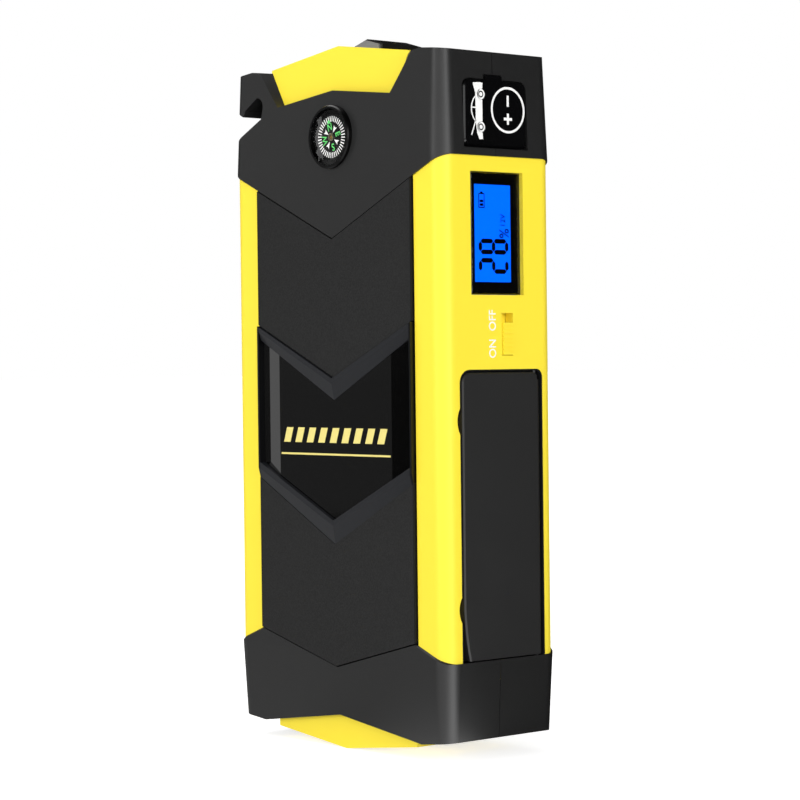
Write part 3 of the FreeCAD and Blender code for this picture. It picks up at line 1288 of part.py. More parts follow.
def torch_lens():
    """Clear roof-shaped pane."""
    body = new_body("torch_lens")
    across = "(torch_half - torch_border - seat_gap)"
    deep = "(torch_long - torch_border - seat_gap)"
    pad(body, "XZ_Plane", f"-{deep}", deep, mirrored([
        ("0", torch_roof("0", "torch_pane")), (across, torch_roof(across, "torch_pane - 0.05")),
        (across, torch_roof(across)), ("0", "torch_peak")]))
    return body


def torch_ends():
    """Bright triangular plates on the front and back of the frame."""
    plates = []
    for start, end in (("-torch_long - torch_end", "-torch_long"), ("torch_long", "torch_long + torch_end")):
        body = doc.addObject("PartDesign::Body", "torch_plate")
        half = "(torch_half - 1)"
        pad(body, "XZ_Plane", start, end, mirrored([
            ("0", "gable_peak + seat_gap"), (half, GABLE.format(x=half) + " + seat_gap"),
            (half, torch_roof(half, "0.3")), ("0", "torch_peak - 0.3")]))
        plates.append(body)
    return group("torch_ends", plates)


def torch_reflector():
    """Bright tray let into the well under the lens."""
    body = new_body("torch_reflector")
    half = "(torch_well - seat_gap)"
    pad(body, "XY_Plane", "reflector_low", "reflector_high", rectangle(f"-{half}", half, f"-{half}", half))
    top = f"({half} - reflector_skin)"
    foot = f"({half} - reflector_skin * 2)"
    loft(body, "Subtractive", "XY_Plane", [
        ("reflector_low + reflector_skin", rectangle(f"-{foot}", foot, f"-{foot}", foot)),
        ("reflector_high", rectangle(f"-{top}", top, f"-{top}", top))], ruled=True)
    return body


def torch_leds():
    """Three surface-mount lamps, each a square body with a raised square lens."""
    floor = "(reflector_low + reflector_skin)"
    lamps = []
    for index in (-1, 0, 1):
        y = f"(led_pitch * {index})"
        base = block("led_base", ("-led_side / 2", "led_side / 2"),
                     (f"{y} - led_side / 2", f"{y} + led_side / 2"), (floor, f"{floor} + led_tall"))
        pane = block("led_pane", ("-led_lens / 2", "led_lens / 2"),
                     (f"{y} - led_lens / 2", f"{y} + led_lens / 2"),
                     (f"{floor} + led_tall / 2", f"{floor} + led_tall + led_rise"))
        lamps.append(combine("Fuse", "led", base, pane))
    return group("torch_leds", lamps)


# ---------------------------------------------------------------- build

def check_and_write():
    """Refuse a failed feature or a bad solid, then write one STEP file for each sub-part."""
    for item in doc.Objects:
        if {"Invalid", "Error"} & set(item.State):
            raise RuntimeError(f"{item.Label}: {item.State}")
    for item in parts:
        if item.Shape.isNull() or not item.Shape.isValid() or not item.Shape.Solids:
            raise RuntimeError(f"{item.Label}: bad shape")
    os.makedirs("parts", exist_ok=True)
    for item in parts:
        item.Shape.exportStep(f"parts/{item.Label}.step")
        box = item.Shape.BoundBox
        print(f"{item.Label:18s} {len(item.Shape.Solids)} solids {item.Shape.Volume:10.1f} mm3 "
              f"x {box.XMin:7.2f} {box.XMax:7.2f} y {box.YMin:7.2f} {box.YMax:7.2f} "
              f"z {box.ZMin:7.2f} {box.ZMax:7.2f}")


def main():
    fill_sheet()
    front_housing()
    rear_housing()
    top_cap("top_cap_front", True)
    top_cap("top_cap_rear", False)
    bottom_cap("bottom_cap_front", True)
    bottom_cap("bottom_cap_rear", False)
    case_screws()
    cutter_blade()
    upper_pad()
    lower_pad()
    rear_pad()
    window_frame()
    window_plate()
    compass_cup()
    compass_card()
    compass_pin()
    compass_lens()
    display_lens()
    display_bezel()
    display_screen()
    switch_knob()
    switch_body()
    port_door()
    port_plate()
    usb_shells()
    usb_tongues()
    power_jack("output_jack", "out_jack_y", "out_jack_r", "out_bore_r")
    power_jack("input_jack", "in_jack_y", "in_jack_r", "in_bore_r")
    jack_pins()
    torch_button()
    circuit_board()
    battery_cells()
    foam_pads()
    battery_straps()
    jump_socket()
    jump_contacts()
    socket_cover()
    torch_bezel()
    torch_lens()
    torch_ends()
    torch_reflector()
    torch_leds()
    doc.recompute()
    check_and_write()


main()
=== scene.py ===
"""Looks of a car jump starter pack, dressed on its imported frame.

The frame brings every rigid piece. This script gives each its finish and adds what is printed or
plated on them: the compass dial, the display's segments, the switch lettering and the socket marks.
"""
import logging
import math
from dataclasses import dataclass, field
from enum import Enum
from typing import ClassVar

import bmesh
import bpy
from mathutils import Matrix, Vector


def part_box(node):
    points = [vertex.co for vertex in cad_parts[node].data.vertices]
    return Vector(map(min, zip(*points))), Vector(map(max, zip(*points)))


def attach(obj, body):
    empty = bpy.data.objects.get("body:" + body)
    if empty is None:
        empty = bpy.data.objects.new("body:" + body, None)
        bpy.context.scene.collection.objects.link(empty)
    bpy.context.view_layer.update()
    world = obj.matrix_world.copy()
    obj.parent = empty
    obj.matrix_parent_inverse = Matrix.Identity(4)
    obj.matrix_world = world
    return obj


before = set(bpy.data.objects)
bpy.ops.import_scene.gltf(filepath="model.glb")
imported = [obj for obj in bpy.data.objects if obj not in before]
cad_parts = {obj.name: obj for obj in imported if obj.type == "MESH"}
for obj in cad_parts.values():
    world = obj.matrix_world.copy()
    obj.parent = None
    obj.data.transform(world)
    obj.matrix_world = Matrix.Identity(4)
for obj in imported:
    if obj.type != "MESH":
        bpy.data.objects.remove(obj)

LOG = logging.getLogger("jump_starter_pack")
MM = 0.001
STAND_OFF = 0.01
CAPITAL_SHARE = 0.7
LETTER_BOLDNESS = 0.012
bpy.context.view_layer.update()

Colour = tuple[float, float, float]
Point = tuple[float, float]
Triple = tuple[float, float, float]
Tree, Node, Socket = bpy.types.NodeTree, bpy.types.Node, bpy.types.NodeSocket
Material, Object = bpy.types.Material, bpy.types.Object


def srgb(red: int, green: int, blue: int) -> Colour:
    """Turn display values into linear ones.

    Args:
        red: Red, 0 to 255.
        green: Green, 0 to 255.
        blue: Blue, 0 to 255.

    Returns:
        The colour in linear light.
    """
    def linear(value: int) -> float:
        """Linear light of one channel."""
        share = value / 255
        return share / 12.92 if share <= 0.04045 else ((share + 0.055) / 1.055) ** 2.4

    return (linear(red), linear(green), linear(blue))


class Body(Enum):
    """Rigid groups of the frame."""

    PACK = "pack"
    DOOR = "door"
    COVER = "cover"
    KNOB = "knob"
    BUTTON = "button"
    CARD = "card"


class Facing(Enum):
    """Outward direction of a printed face, with the matrix that lays flat artwork on it.

    Artwork is drawn with x to its right and y up. It stands upright on the front and reads from the
    bottom up on the side.
    """

    FRONT = Matrix(((1, 0, 0), (0, 0, -1), (0, 1, 0)))
    SIDE = Matrix(((0, 0, 1), (0, -1, 0), (1, 0, 0)))


# ---------------------------------------------------------------- finishes

MADE: dict[str, Material] = {}


def add_node(tree: Tree, kind: str, *sources: object, **settings: object) -> Node:
    """Add a node to a material or world.

    Args:
        tree: Nodes to add to.
        kind: Type of the node.
        sources: Sockets or values for its inputs in their order, where None leaves one as it is.
        settings: The node's own properties.

    Returns:
        The node.
    """
    node = tree.nodes.new(kind)
    for label, value in settings.items():
        setattr(node, label, value)
    for target, source in zip(node.inputs, sources):
        if isinstance(source, Socket):
            tree.links.new(source, target)
        elif source is not None:
            target.default_value = source
    return node


def scalar(tree: Tree, operation: str, *sources: object) -> Socket:
    """Add a Math node and return its result."""
    return add_node(tree, "ShaderNodeMath", *sources, operation=operation).outputs["Value"]


def vector(tree: Tree, operation: str, *sources: object) -> Socket:
    """Add a Vector Math node and return its vector."""
    return add_node(tree, "ShaderNodeVectorMath", *sources, operation=operation).outputs["Vector"]


def length(tree: Tree, source: Socket) -> Socket:
    """Length of a vector."""
    return add_node(tree, "ShaderNodeVectorMath", source, operation="LENGTH").outputs["Value"]


def remap(tree: Tree, source: Socket, given: Point, wanted: Point = (0.0, 1.0)) -> Socket:
    """Map one range of a value to another, held at its ends."""
    return add_node(tree, "ShaderNodeMapRange", source, *given, *wanted).outputs["Result"]


def mixed(tree: Tree, share: Socket, first: Socket, second: Socket) -> Socket:
    """Mix two shaders, by the share of the second."""
    return add_node(tree, "ShaderNodeMixShader", share, first, second).outputs["Shader"]


def object_place(tree: Tree) -> Socket:
    """Object coordinates in metres."""
    return add_node(tree, "ShaderNodeTexCoord").outputs["Object"]


def plain_material(name: str, values: dict[str, object]) -> Material:
    """Make a node material with one surface shader.

    Args:
        name: Material name.
        values: Inputs of the shader by name.

    Returns:
        The material.
    """
    material = bpy.data.materials.new(name)
    material.use_nodes = True
    for label, value in values.items():
        material.node_tree.nodes["Principled BSDF"].inputs[label].default_value = value
    return material


@dataclass(frozen=True)
class Finish:
    """A moulded or metal finish with a fine grain and slight unevenness.

    Attributes:
        name: Material name.
        colour: Linear base colour.
        roughness: Mean roughness.
        metallic: 1 for bare metal.
        specular: Specular level, 0.5 for ordinary plastic.
        coat: Strength of a clear gloss over the colour.
        grain_mm: Pitch of the surface grain.
        relief_mm: Height of the grain.
        unevenness: Spread of the roughness over a hand's width.
        speckle: Share by which the grain lightens and darkens the colour.
        glow: Strength of light that the surface gives off in its own colour.
    """

    COAT_ROUGHNESS: ClassVar[float] = 0.06
    GRAIN_DETAIL: ClassVar[float] = 2.0
    SPECKLE_RANGE: ClassVar[Point] = (0.35, 0.65)
    WEAR_SCALE: ClassVar[float] = 60.0
    WEAR_DETAIL: ClassVar[float] = 3.0
    SMOOTHEST: ClassVar[float] = 0.02

    name: str
    colour: Colour
    roughness: float = 0.5
    metallic: float = 0.0
    specular: float = 0.5
    coat: float = 0.0
    grain_mm: float = 0.25
    relief_mm: float = 0.004
    unevenness: float = 0.06
    speckle: float = 0.0
    glow: float = 0.0

    def build(self) -> Material:
        """Give the material, made once and then reused."""
        if self.name not in MADE:
            MADE[self.name] = self.make()
        return MADE[self.name]

    def make(self) -> Material:
        """Make the node material."""
        values = {
            "Base Color": (*self.colour, 1), "Roughness": self.roughness, "Metallic": self.metallic,
            "Specular IOR Level": self.specular, "Coat Weight": self.coat,
            "Coat Roughness": self.COAT_ROUGHNESS,
        }
        if self.glow:
            values |= {"Emission Color": (*self.colour, 1), "Emission Strength": self.glow}
        material = plain_material(f"{self.name}_finish", values)
        tree = material.node_tree
        place = object_place(tree)
        if self.relief_mm:
            self.add_grain(tree, place)
        if self.unevenness:
            self.add_unevenness(tree, place)
        return material

    def add_grain(self, tree: Tree, place: Socket) -> None:
        """Raise a fine grain and let it tint the colour.

        Args:
            tree: The material's nodes.
            place: Object coordinates.
        """
        shader = tree.nodes["Principled BSDF"]
        noise = add_node(tree, "ShaderNodeTexNoise", place, None, 1 / (self.grain_mm * MM),
                         self.GRAIN_DETAIL).outputs["Fac"]
        bump = add_node(tree, "ShaderNodeBump")
        bump.inputs["Strength"].default_value = 1.0
        bump.inputs["Distance"].default_value = self.relief_mm * MM
        tree.links.new(noise, bump.inputs["Height"])
        tree.links.new(bump.outputs["Normal"], shader.inputs["Normal"])
        if self.speckle:
            ramp = add_node(tree, "ShaderNodeValToRGB", noise)
            shares = (1 - self.speckle, 1 + self.speckle)
            for stop, position, share in zip(ramp.color_ramp.elements, self.SPECKLE_RANGE, shares):
                stop.position = position
                stop.color = (*(channel * share for channel in self.colour), 1)
            tree.links.new(ramp.outputs["Color"], shader.inputs["Base Color"])

    def add_unevenness(self, tree: Tree, place: Socket) -> None:
        """Vary the roughness slowly, as handling and moulding leave it.

        Args:
            tree: The material's nodes.
            place: Object coordinates.
        """
        noise = add_node(tree, "ShaderNodeTexNoise", place, None, self.WEAR_SCALE,
                         self.WEAR_DETAIL).outputs["Fac"]
        spread = (max(self.roughness - self.unevenness, self.SMOOTHEST),
                  min(self.roughness + self.unevenness, 1.0))
        tree.links.new(remap(tree, noise, (0.0, 1.0), spread),
                       tree.nodes["Principled BSDF"].inputs["Roughness"])

    @staticmethod
    def recolour(tree: Tree, where: Socket, colour: Colour) -> None:
        """Give some places of a finish another colour.

        Args:
            tree: The material's nodes.
            where: 1 where the other colour shows.
            colour: That colour.
        """
        base = tree.nodes["Principled BSDF"].inputs["Base Color"]
        mix = add_node(tree, "ShaderNodeMix", data_type="RGBA")
        mix.inputs["A"].default_value = base.default_value
        mix.inputs["B"].default_value = (*colour, 1)
        if base.is_linked:
            tree.links.new(base.links[0].from_socket, mix.inputs["A"])
        tree.links.new(where, mix.inputs["Factor"])
        tree.links.new(mix.outputs["Result"], base)


@dataclass(frozen=True)
class SmoothFinish(Finish):
    """A finish with neither grain nor unevenness."""

    relief_mm: float = 0.0
    unevenness: float = 0.0


@dataclass(frozen=True)
class MetalFinish(Finish):
    """Bare metal."""

    metallic: float = 1.0
    relief_mm: float = 0.001


@dataclass(frozen=True)
class ClearFinish(Finish):
    """Thin clear polished plastic: the gloss of its face, and hardly any bending of what lies below."""

    ior: float = 1.02

    def make(self) -> Material:
        """Make the clear material, which casts no shadow on what lies below."""
        material = plain_material(f"{self.name}_finish", {
            "Base Color": (*self.colour, 1), "Roughness": self.roughness, "IOR": self.ior,
            "Transmission Weight": 1.0, "Coat Weight": self.coat, "Coat Roughness": self.roughness})
        tree = material.node_tree
        surface = mixed(tree, add_node(tree, "ShaderNodeLightPath").outputs["Is Shadow Ray"],
                        tree.nodes["Principled BSDF"].outputs["BSDF"],
                        add_node(tree, "ShaderNodeBsdfTransparent").outputs["BSDF"])
        tree.links.new(surface, tree.nodes["Material Output"].inputs["Surface"])
        return material


@dataclass(frozen=True)
class RimShadedFinish(Finish):
    """A finish with painted shade: it turns dark beyond a distance from the pack's middle plane, where
    the shadowed gaps at its side edges lie.

    Attributes:
        reach_mm: Distance in millimetres along X at which the rim of painted shade starts.
        painted_rim_shade: Colour of the painted shade along the rim.
    """

    reach_mm: float = 28.1
    painted_rim_shade: Colour = (0.0015, 0.0015, 0.002)

    def make(self) -> Material:
        """Make the plain finish and paint shade along its rim."""
        material = super().make()
        tree = material.node_tree
        across = add_node(tree, "ShaderNodeSeparateXYZ", object_place(tree)).outputs["X"]
        # painted shade: everything beyond reach_mm across X turns dark, standing in for the shadow in the
        # gaps beside the side edges
        in_painted_shade = scalar(tree, "GREATER_THAN", scalar(tree, "ABSOLUTE", across), self.reach_mm * MM)
        self.recolour(tree, in_painted_shade, self.painted_rim_shade)
        return material


@dataclass(frozen=True)
class SeatShadedFinish(Finish):
    """A finish with painted shade: dark inside blocks where other pieces sit close over it, so that the
    gaps between the pieces read as dark lines of shadow.

    Attributes:
        panels: Middle and half size of the block round the panels' seats, in millimetres.
        foot: The same for the walls inside the foot cap, at each end of the pack.
        painted_gap_shade: Colour of the painted shade in those places.
    """

    panels: tuple[Triple, Triple] = ((0.0, 0.0, 76.0), (29.4, 17.3, 62.0))
    foot: tuple[Triple, Triple] = ((36.0, 0.0, 8.5), (4.5, 12.0, 10.1))
    painted_gap_shade: Colour = (0.002, 0.002, 0.002)

    def make(self) -> Material:
        """Make the plain finish and paint shade in the places that other pieces cover."""
        material = super().make()
        tree = material.node_tree
        place = vector(tree, "ABSOLUTE", object_place(tree))
        blocks = (self.inside(tree, place, *block) for block in (self.panels, self.foot))
        # painted shade: the housing turns dark inside both blocks, standing in for the shadow in the gaps
        # round the panels and inside the foot cap
        self.recolour(tree, scalar(tree, "MAXIMUM", *blocks), self.painted_gap_shade)
        return material

    @staticmethod
    def inside(tree: Tree, place: Socket, middle: Triple, half_size: Triple) -> Socket:
        """Tell whether a place lies inside a block.

        Args:
            tree: Nodes to add to.
            place: The place.
            middle: Middle of the block, in millimetres.
            half_size: Half of its size along each axis.

        Returns:
            1 inside and 0 outside.
        """
        shift = vector(tree, "SUBTRACT", place, Vector(middle) * MM)
        share = vector(tree, "ABSOLUTE", vector(tree, "DIVIDE", shift, Vector(half_size) * MM))
        x, y, z = add_node(tree, "ShaderNodeSeparateXYZ", share).outputs
        return scalar(tree, "LESS_THAN", scalar(tree, "MAXIMUM", z, scalar(tree, "MAXIMUM", x, y)), 1.0)


# the yellow housing carries painted shade in the gaps round the panels and inside the foot cap
YELLOW = SeatShadedFinish("housing_yellow", srgb(253, 230, 60), 0.42, specular=0.3, relief_mm=0.002)
CAP = Finish("cap_black", srgb(31, 31, 31), 0.42, specular=0.45, relief_mm=0.006, speckle=0.08)
# the pads' and the window bands' finishes carry painted shade along their side edges
PEBBLE = RimShadedFinish("panel_black", srgb(29, 29, 29), 0.55, specular=0.3, grain_mm=0.35,
                      relief_mm=0.02, speckle=0.3, reach_mm=28.4)
BAND = RimShadedFinish("band_grey", srgb(34, 35, 38), 0.3, specular=0.35, relief_mm=0.003)
GLOSS = SmoothFinish("window_black", srgb(9, 9, 9), 0.05)
RUBBER = Finish("rubber_black", srgb(37, 37, 37), 0.45, specular=0.4, relief_mm=0.004)
COVER_GLOSS = Finish("cover_black", srgb(7, 7, 8), 0.22, specular=0.4, relief_mm=0.001)
CUP = SmoothFinish("compass_black", srgb(3, 3, 3), 0.25, specular=0.3)
CARD = SmoothFinish("card_black", srgb(3, 3, 3), 0.6, specular=0.1)
CLEAR = ClearFinish("clear", (1.0, 1.0, 1.0), 0.02, coat=1.0)
MASK = SmoothFinish("display_mask", srgb(1, 1, 1), 0.15, specular=0.2)
BLUE = SmoothFinish("display_blue", srgb(0, 86, 245), 0.5, specular=0.0, glow=0.55)
TRAY = Finish("tray_black", srgb(26, 26, 27), 0.5, specular=0.3)
STEEL = MetalFinish("steel", srgb(190, 190, 192), 0.3)
SCREW = MetalFinish("screw_steel", srgb(70, 70, 74), 0.35)
NYLON = Finish("nylon_black", srgb(24, 24, 25), 0.45)
GOLD = MetalFinish("gold", srgb(226, 184, 96), 0.22, relief_mm=0.0005)
BUTTON = Finish("button_black", srgb(52, 52, 54), 0.5, specular=0.3)
TORCH = Finish("torch_black", srgb(20, 20, 21), 0.3)
SILVER = MetalFinish("torch_silver", srgb(205, 206, 208), 0.35)
MIRROR = MetalFinish("reflector", srgb(228, 229, 232), 0.12, relief_mm=0.0)
LAMP = Finish("lamp", srgb(244, 236, 150), 0.3)
SOCKET = Finish("socket_blue", srgb(20, 78, 170), 0.45)
FOIL = MetalFinish("cell_foil", srgb(186, 188, 190), 0.45, relief_mm=0.01)
FOAM = Finish("foam", srgb(48, 48, 50), 0.95, relief_mm=0.05, grain_mm=0.5)
COPPER = Finish("copper", srgb(206, 128, 92), 0.35, metallic=1.0)
BOARD = Finish("board_green", srgb(20, 92, 48), 0.4)
BLADE = MetalFinish("blade_steel", srgb(196, 197, 199), 0.22)
WHITE = SmoothFinish("print_white", srgb(248, 248, 246), 0.5)
PALE = SmoothFinish("print_pale_yellow", srgb(238, 222, 130), 0.45)
GREEN = SmoothFinish("print_green", srgb(96, 220, 110), 0.45)
INK = SmoothFinish("segment_ink", srgb(1, 2, 8), 0.6, specular=0.0)
HUB = MetalFinish("hub_metal", srgb(168, 160, 128), 0.3, relief_mm=0.0)

NODE_FINISHES: dict[Finish, tuple[str, ...]] = {
    YELLOW: ("front_housing", "rear_housing", "switch_knob"),
    CAP: ("top_cap_front", "top_cap_rear", "bottom_cap_front", "bottom_cap_rear"),
    PEBBLE: ("upper_pad", "lower_pad", "rear_pad"),
    BAND: ("window_frame",),
    GLOSS: ("window_plate",),
    RUBBER: ("port_door",),
    COVER_GLOSS: ("socket_cover",),
    CUP: ("compass_cup",),
    CARD: ("compass_card",),
    CLEAR: ("compass_lens", "display_lens", "torch_lens"),
    MASK: ("display_bezel",),
    BLUE: ("display_screen",),
    TRAY: ("port_plate",),
    STEEL: ("usb_shells",),
    SCREW: ("case_screws",),
    NYLON: ("usb_tongues", "output_jack", "input_jack", "switch_body"),
    GOLD: ("compass_pin", "jack_pins", "jump_contacts"),
    BUTTON: ("torch_button",),
    TORCH: ("torch_bezel",),
    SILVER: ("torch_ends",),
    MIRROR: ("torch_reflector",),
    LAMP: ("torch_leds",),
    SOCKET: ("jump_socket",),
    FOIL: ("battery_cells",),
    FOAM: ("foam_pads",),
    COPPER: ("battery_straps",),
    BOARD: ("circuit_board",),
    BLADE: ("cutter_blade",),
}


def dress_frame() -> None:
    """Give every node of the frame its finish."""
    for finish, nodes in NODE_FINISHES.items():
        material = finish.build()
        for node in nodes:
            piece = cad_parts[node]
            for holder in piece.material_slots:
                holder.material = material
            LOG.info("node %s: %s", node, finish.name)


# ---------------------------------------------------------------- making pieces

@dataclass
class Outline:
    """Flat artwork made of polygons, in millimetres, raised by a film's thickness.

    Attributes:
        loops: Closed polygons as lists of points.
    """

    loops: list[list[Point]] = field(default_factory=list)

    def polygon(self, *points: Point) -> None:
        """Add one polygon."""
        self.loops.append(list(points))

    def bar(self, centre: Point, size: Point, lean: float = 0.0) -> None:
        """Add an upright bar, leaning sideways by a share of its height.

        Args:
            centre: Middle of the bar.
            size: Width and height.
            lean: Sideways shift of the top over the height.
        """
        (x, y), (width, height) = centre, size
        shift = lean * height / 2
        self.polygon((x - width / 2 - shift, y - height / 2), (x + width / 2 - shift, y - height / 2),
                     (x + width / 2 + shift, y + height / 2), (x - width / 2 + shift, y + height / 2))

    def ring(self, centre: Point, outer: float, inner: float, count: int = 64) -> None:
        """Add a ring as a run of quadrilaterals, or a disc where the inner radius is 0.

        Args:
            centre: Middle of the ring.
            outer: Outer radius.
            inner: Inner radius.
            count: Number of quadrilaterals.
        """
        def spot(radius: float, index: int) -> Point:
            """Point on a circle."""
            angle = 2 * math.pi * index / count
            return (centre[0] + radius * math.cos(angle), centre[1] + radius * math.sin(angle))

        if inner <= 0:
            self.polygon(*(spot(outer, index) for index in range(count)))
            return
        for index in range(count):
            self.polygon(spot(inner, index), spot(outer, index), spot(outer, index + 1),
                         spot(inner, index + 1))

    def mesh(self, film: float) -> bpy.types.Mesh:
        """Raise the artwork by the film.

        Args:
            film: Thickness in millimetres.

        Returns:
            The closed mesh, in millimetres.
        """
        mesh = bmesh.new()
        for loop in self.loops:
            mesh.faces.new([mesh.verts.new((x, y, 0)) for x, y in loop])
        bmesh.ops.remove_doubles(mesh, verts=mesh.verts, dist=1e-4)
        raised = bmesh.ops.extrude_face_region(mesh, geom=list(mesh.faces))
        top = [item for item in raised["geom"] if isinstance(item, bmesh.types.BMVert)]
        bmesh.ops.translate(mesh, verts=top, vec=(0, 0, film))
        bmesh.ops.recalc_face_normals(mesh, faces=list(mesh.faces))
        data = bpy.data.meshes.new("outline")
        mesh.to_mesh(data)
        mesh.free()
        return data


def linked(name: str, data: bpy.types.Mesh) -> Object:
    """Make an object of a mesh and link it to the scene.

    Args:
        name: Name of both.
        data: The mesh.

    Returns:
        The object.
    """
    data.name = name
    thing = bpy.data.objects.new(name, data)
    bpy.context.scene.collection.objects.link(thing)
    return thing


def finished(piece: Object, finish: Finish, body: Body) -> None:
    """Give a new piece its finish and let it ride on its body.

    Args:
        piece: The piece.
        finish: Its finish.
        body: The body that carries it.
    """
    piece.data.materials.clear()
    piece.data.materials.append(finish.build())
    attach(piece, body.value)
    LOG.info("piece %s: %s on %s", piece.name, finish.name, body.value)


@dataclass(frozen=True)
class Print:
    """A printed piece.

    Attributes:
        name: Piece name.
        facing: Which way the printed face looks.
        origin: Place of the artwork's own origin, in millimetres.
        finish: Its finish.
        body: The body that carries it.
        film: Thickness in millimetres.
        turn: Turn of the artwork on the face, in degrees.
    """

    name: str
    facing: Facing
    origin: Vector
    finish: Finish
    body: Body
    film: float = 0.02
    turn: float = 0.0

    def lay(self, data: bpy.types.Mesh) -> None:
        """Lay a flat mesh on the face.

        Args:
            data: The mesh, in millimetres.
        """
        lie = self.facing.value.to_4x4() @ Matrix.Rotation(math.radians(self.turn), 4, "Z")
        data.transform(Matrix.Scale(MM, 4) @ Matrix.Translation(self.origin) @ lie)
        finished(linked(self.name, data), self.finish, self.body)

    def outline(self, artwork: Outline) -> None:
        """Print an outline.

        Args:
            artwork: The outline.
        """
        self.lay(artwork.mesh(self.film))

    def letters(self, words: str, height: float, stretch: float) -> None:
        """Print plain capital letters centred on the origin.

        Args:
            words: The letters.
            height: Capital height in millimetres.
            stretch: Width over the font's own width.
        """
        curve = bpy.data.curves.new(self.name, "FONT")
        curve.body = words
        curve.align_x = curve.align_y = "CENTER"
        curve.size = height / CAPITAL_SHARE
        curve.offset = LETTER_BOLDNESS * height
        curve.extrude = self.film / 2
        holder = bpy.data.objects.new(self.name + "_text", curve)
        data = bpy.data.meshes.new_from_object(holder)
        bpy.data.objects.remove(holder)
        bpy.data.curves.remove(curve)
        data.transform(Matrix.Diagonal((stretch, 1, 1, 1)))
        corners = [vertex.co for vertex in data.vertices]
        low = Vector(min(corner[axis] for corner in corners) for axis in range(3))
        high = Vector(max(corner[axis] for corner in corners) for axis in range(3))
        middle = (low + high) / 2
        data.transform(Matrix.Translation((-middle.x, -middle.y, -low.z)))
        self.lay(data)


def node_box(node: str) -> tuple[Vector, Vector]:
    """Lowest and highest corner of a node in millimetres.

    Args:
        node: The node's name.

    Returns:
        The two corners.
    """
    low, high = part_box(node)
    return Vector(low) / MM, Vector(high) / MM


# ---------------------------------------------------------------- repeated pieces

@dataclass
class NodeTree:
    """A Geometry Nodes tree under construction.

    Attributes:
        name: Name of the tree.
        inputs: Its inputs by name, each with its socket type and default, where None is the type's own.
    """

    name: str
    inputs: dict[str, tuple[str, object]]
    group: Tree = field(init=False)
    source: bpy.types.NodeOutputs = field(init=False)

    def __post_init__(self) -> None:
        """Start the tree with its way in and out."""
        self.group = bpy.data.node_groups.new(self.name, "GeometryNodeTree")
        sockets = self.group.interface
        sockets.new_socket("Geometry", in_out="OUTPUT", socket_type="NodeSocketGeometry")
        for label, (kind, value) in (self.inputs | {"Material": ("Material", None)}).items():
            socket = sockets.new_socket(label, in_out="INPUT", socket_type=f"NodeSocket{kind}")
            if value is not None:
                socket.default_value = value
        self.source = self.group.nodes.new("NodeGroupInput").outputs

    def add(self, kind: str, links: dict[str, Socket] | None = None, **settings: object) -> Node:
        """Add a node.

        Args:
            kind: Type of the node.
            links: Sockets that feed its inputs, by the inputs' names.
            settings: The node's own properties.

        Returns:
            The node.
        """
        node = self.group.nodes.new(kind)
        for label, value in settings.items():
            setattr(node, label, value)
        for label, socket in (links or {}).items():
            self.group.links.new(socket, node.inputs[label])
        return node

    def close(self, geometry: Socket) -> None:
        """End with Realize Instances and Set Material.

        Args:
            geometry: What the tree has made.
        """
        real = self.add("GeometryNodeRealizeInstances", {"Geometry": geometry})
        paint = self.add("GeometryNodeSetMaterial", {"Geometry": real.outputs["Geometry"],
                                                     "Material": self.source["Material"]})
        self.add("NodeGroupOutput", {"Geometry": paint.outputs["Geometry"]})

    def make(self, name: str, values: dict[str, object]) -> Object:
        """Run the tree once and keep the plain mesh.

        Args:
            name: Piece name.
            values: Input values by name.

        Returns:
            A new object with the made mesh.
        """
        seed = linked(name + "_seed", bpy.data.meshes.new("seed"))
        modifier = seed.modifiers.new(self.name, "NODES")
        modifier.node_group = self.group
        for item in self.group.interface.items_tree:
            if item.in_out == "INPUT" and item.name in values:
                modifier[item.identifier] = values[item.name]
        graph = bpy.context.evaluated_depsgraph_get()
        mesh = bpy.data.meshes.new_from_object(seed.evaluated_get(graph))
        seed.modifiers.clear()
        bpy.data.objects.remove(seed)
        return linked(name, mesh)


def tick_ring_tree() -> NodeTree:
    """A ring of small bars, each pointing to the middle, facing -Y.

    Returns:
        The tree.
    """
    tree = NodeTree("tick_ring", {
        "Count": ("Int", 36), "Radius": ("Float", MM), "Length": ("Float", MM), "Width": ("Float", MM),
        "Thickness": ("Float", MM), "Centre": ("Vector", None), "Turn": ("Float", 0.0)})
    source = tree.source
    circle = tree.add("GeometryNodeMeshCircle", {"Vertices": source["Count"], "Radius": source["Radius"]})
    size = tree.add("ShaderNodeCombineXYZ", {"X": source["Length"], "Y": source["Width"],
                                             "Z": source["Thickness"]})
    bar = tree.add("GeometryNodeMeshCube", {"Size": size.outputs["Vector"]})
    place = tree.add("GeometryNodeInputPosition")
    aim = tree.add("FunctionNodeAlignRotationToVector", {"Vector": place.outputs["Position"]}, axis="X")
    copies = tree.add("GeometryNodeInstanceOnPoints", {
        "Points": circle.outputs["Mesh"], "Instance": bar.outputs["Mesh"],
        "Rotation": aim.outputs["Rotation"]})
    spin = tree.add("ShaderNodeCombineXYZ", {"Z": source["Turn"]})
    turned = tree.add("GeometryNodeTransform", {
        "Geometry": copies.outputs["Instances"], "Rotation": spin.outputs["Vector"]})
    stand = tree.add("GeometryNodeTransform", {
        "Geometry": turned.outputs["Geometry"], "Translation": source["Centre"]})
    stand.inputs["Rotation"].default_value = (math.pi / 2, 0, 0)
    tree.close(stand.outputs["Geometry"])
    return tree


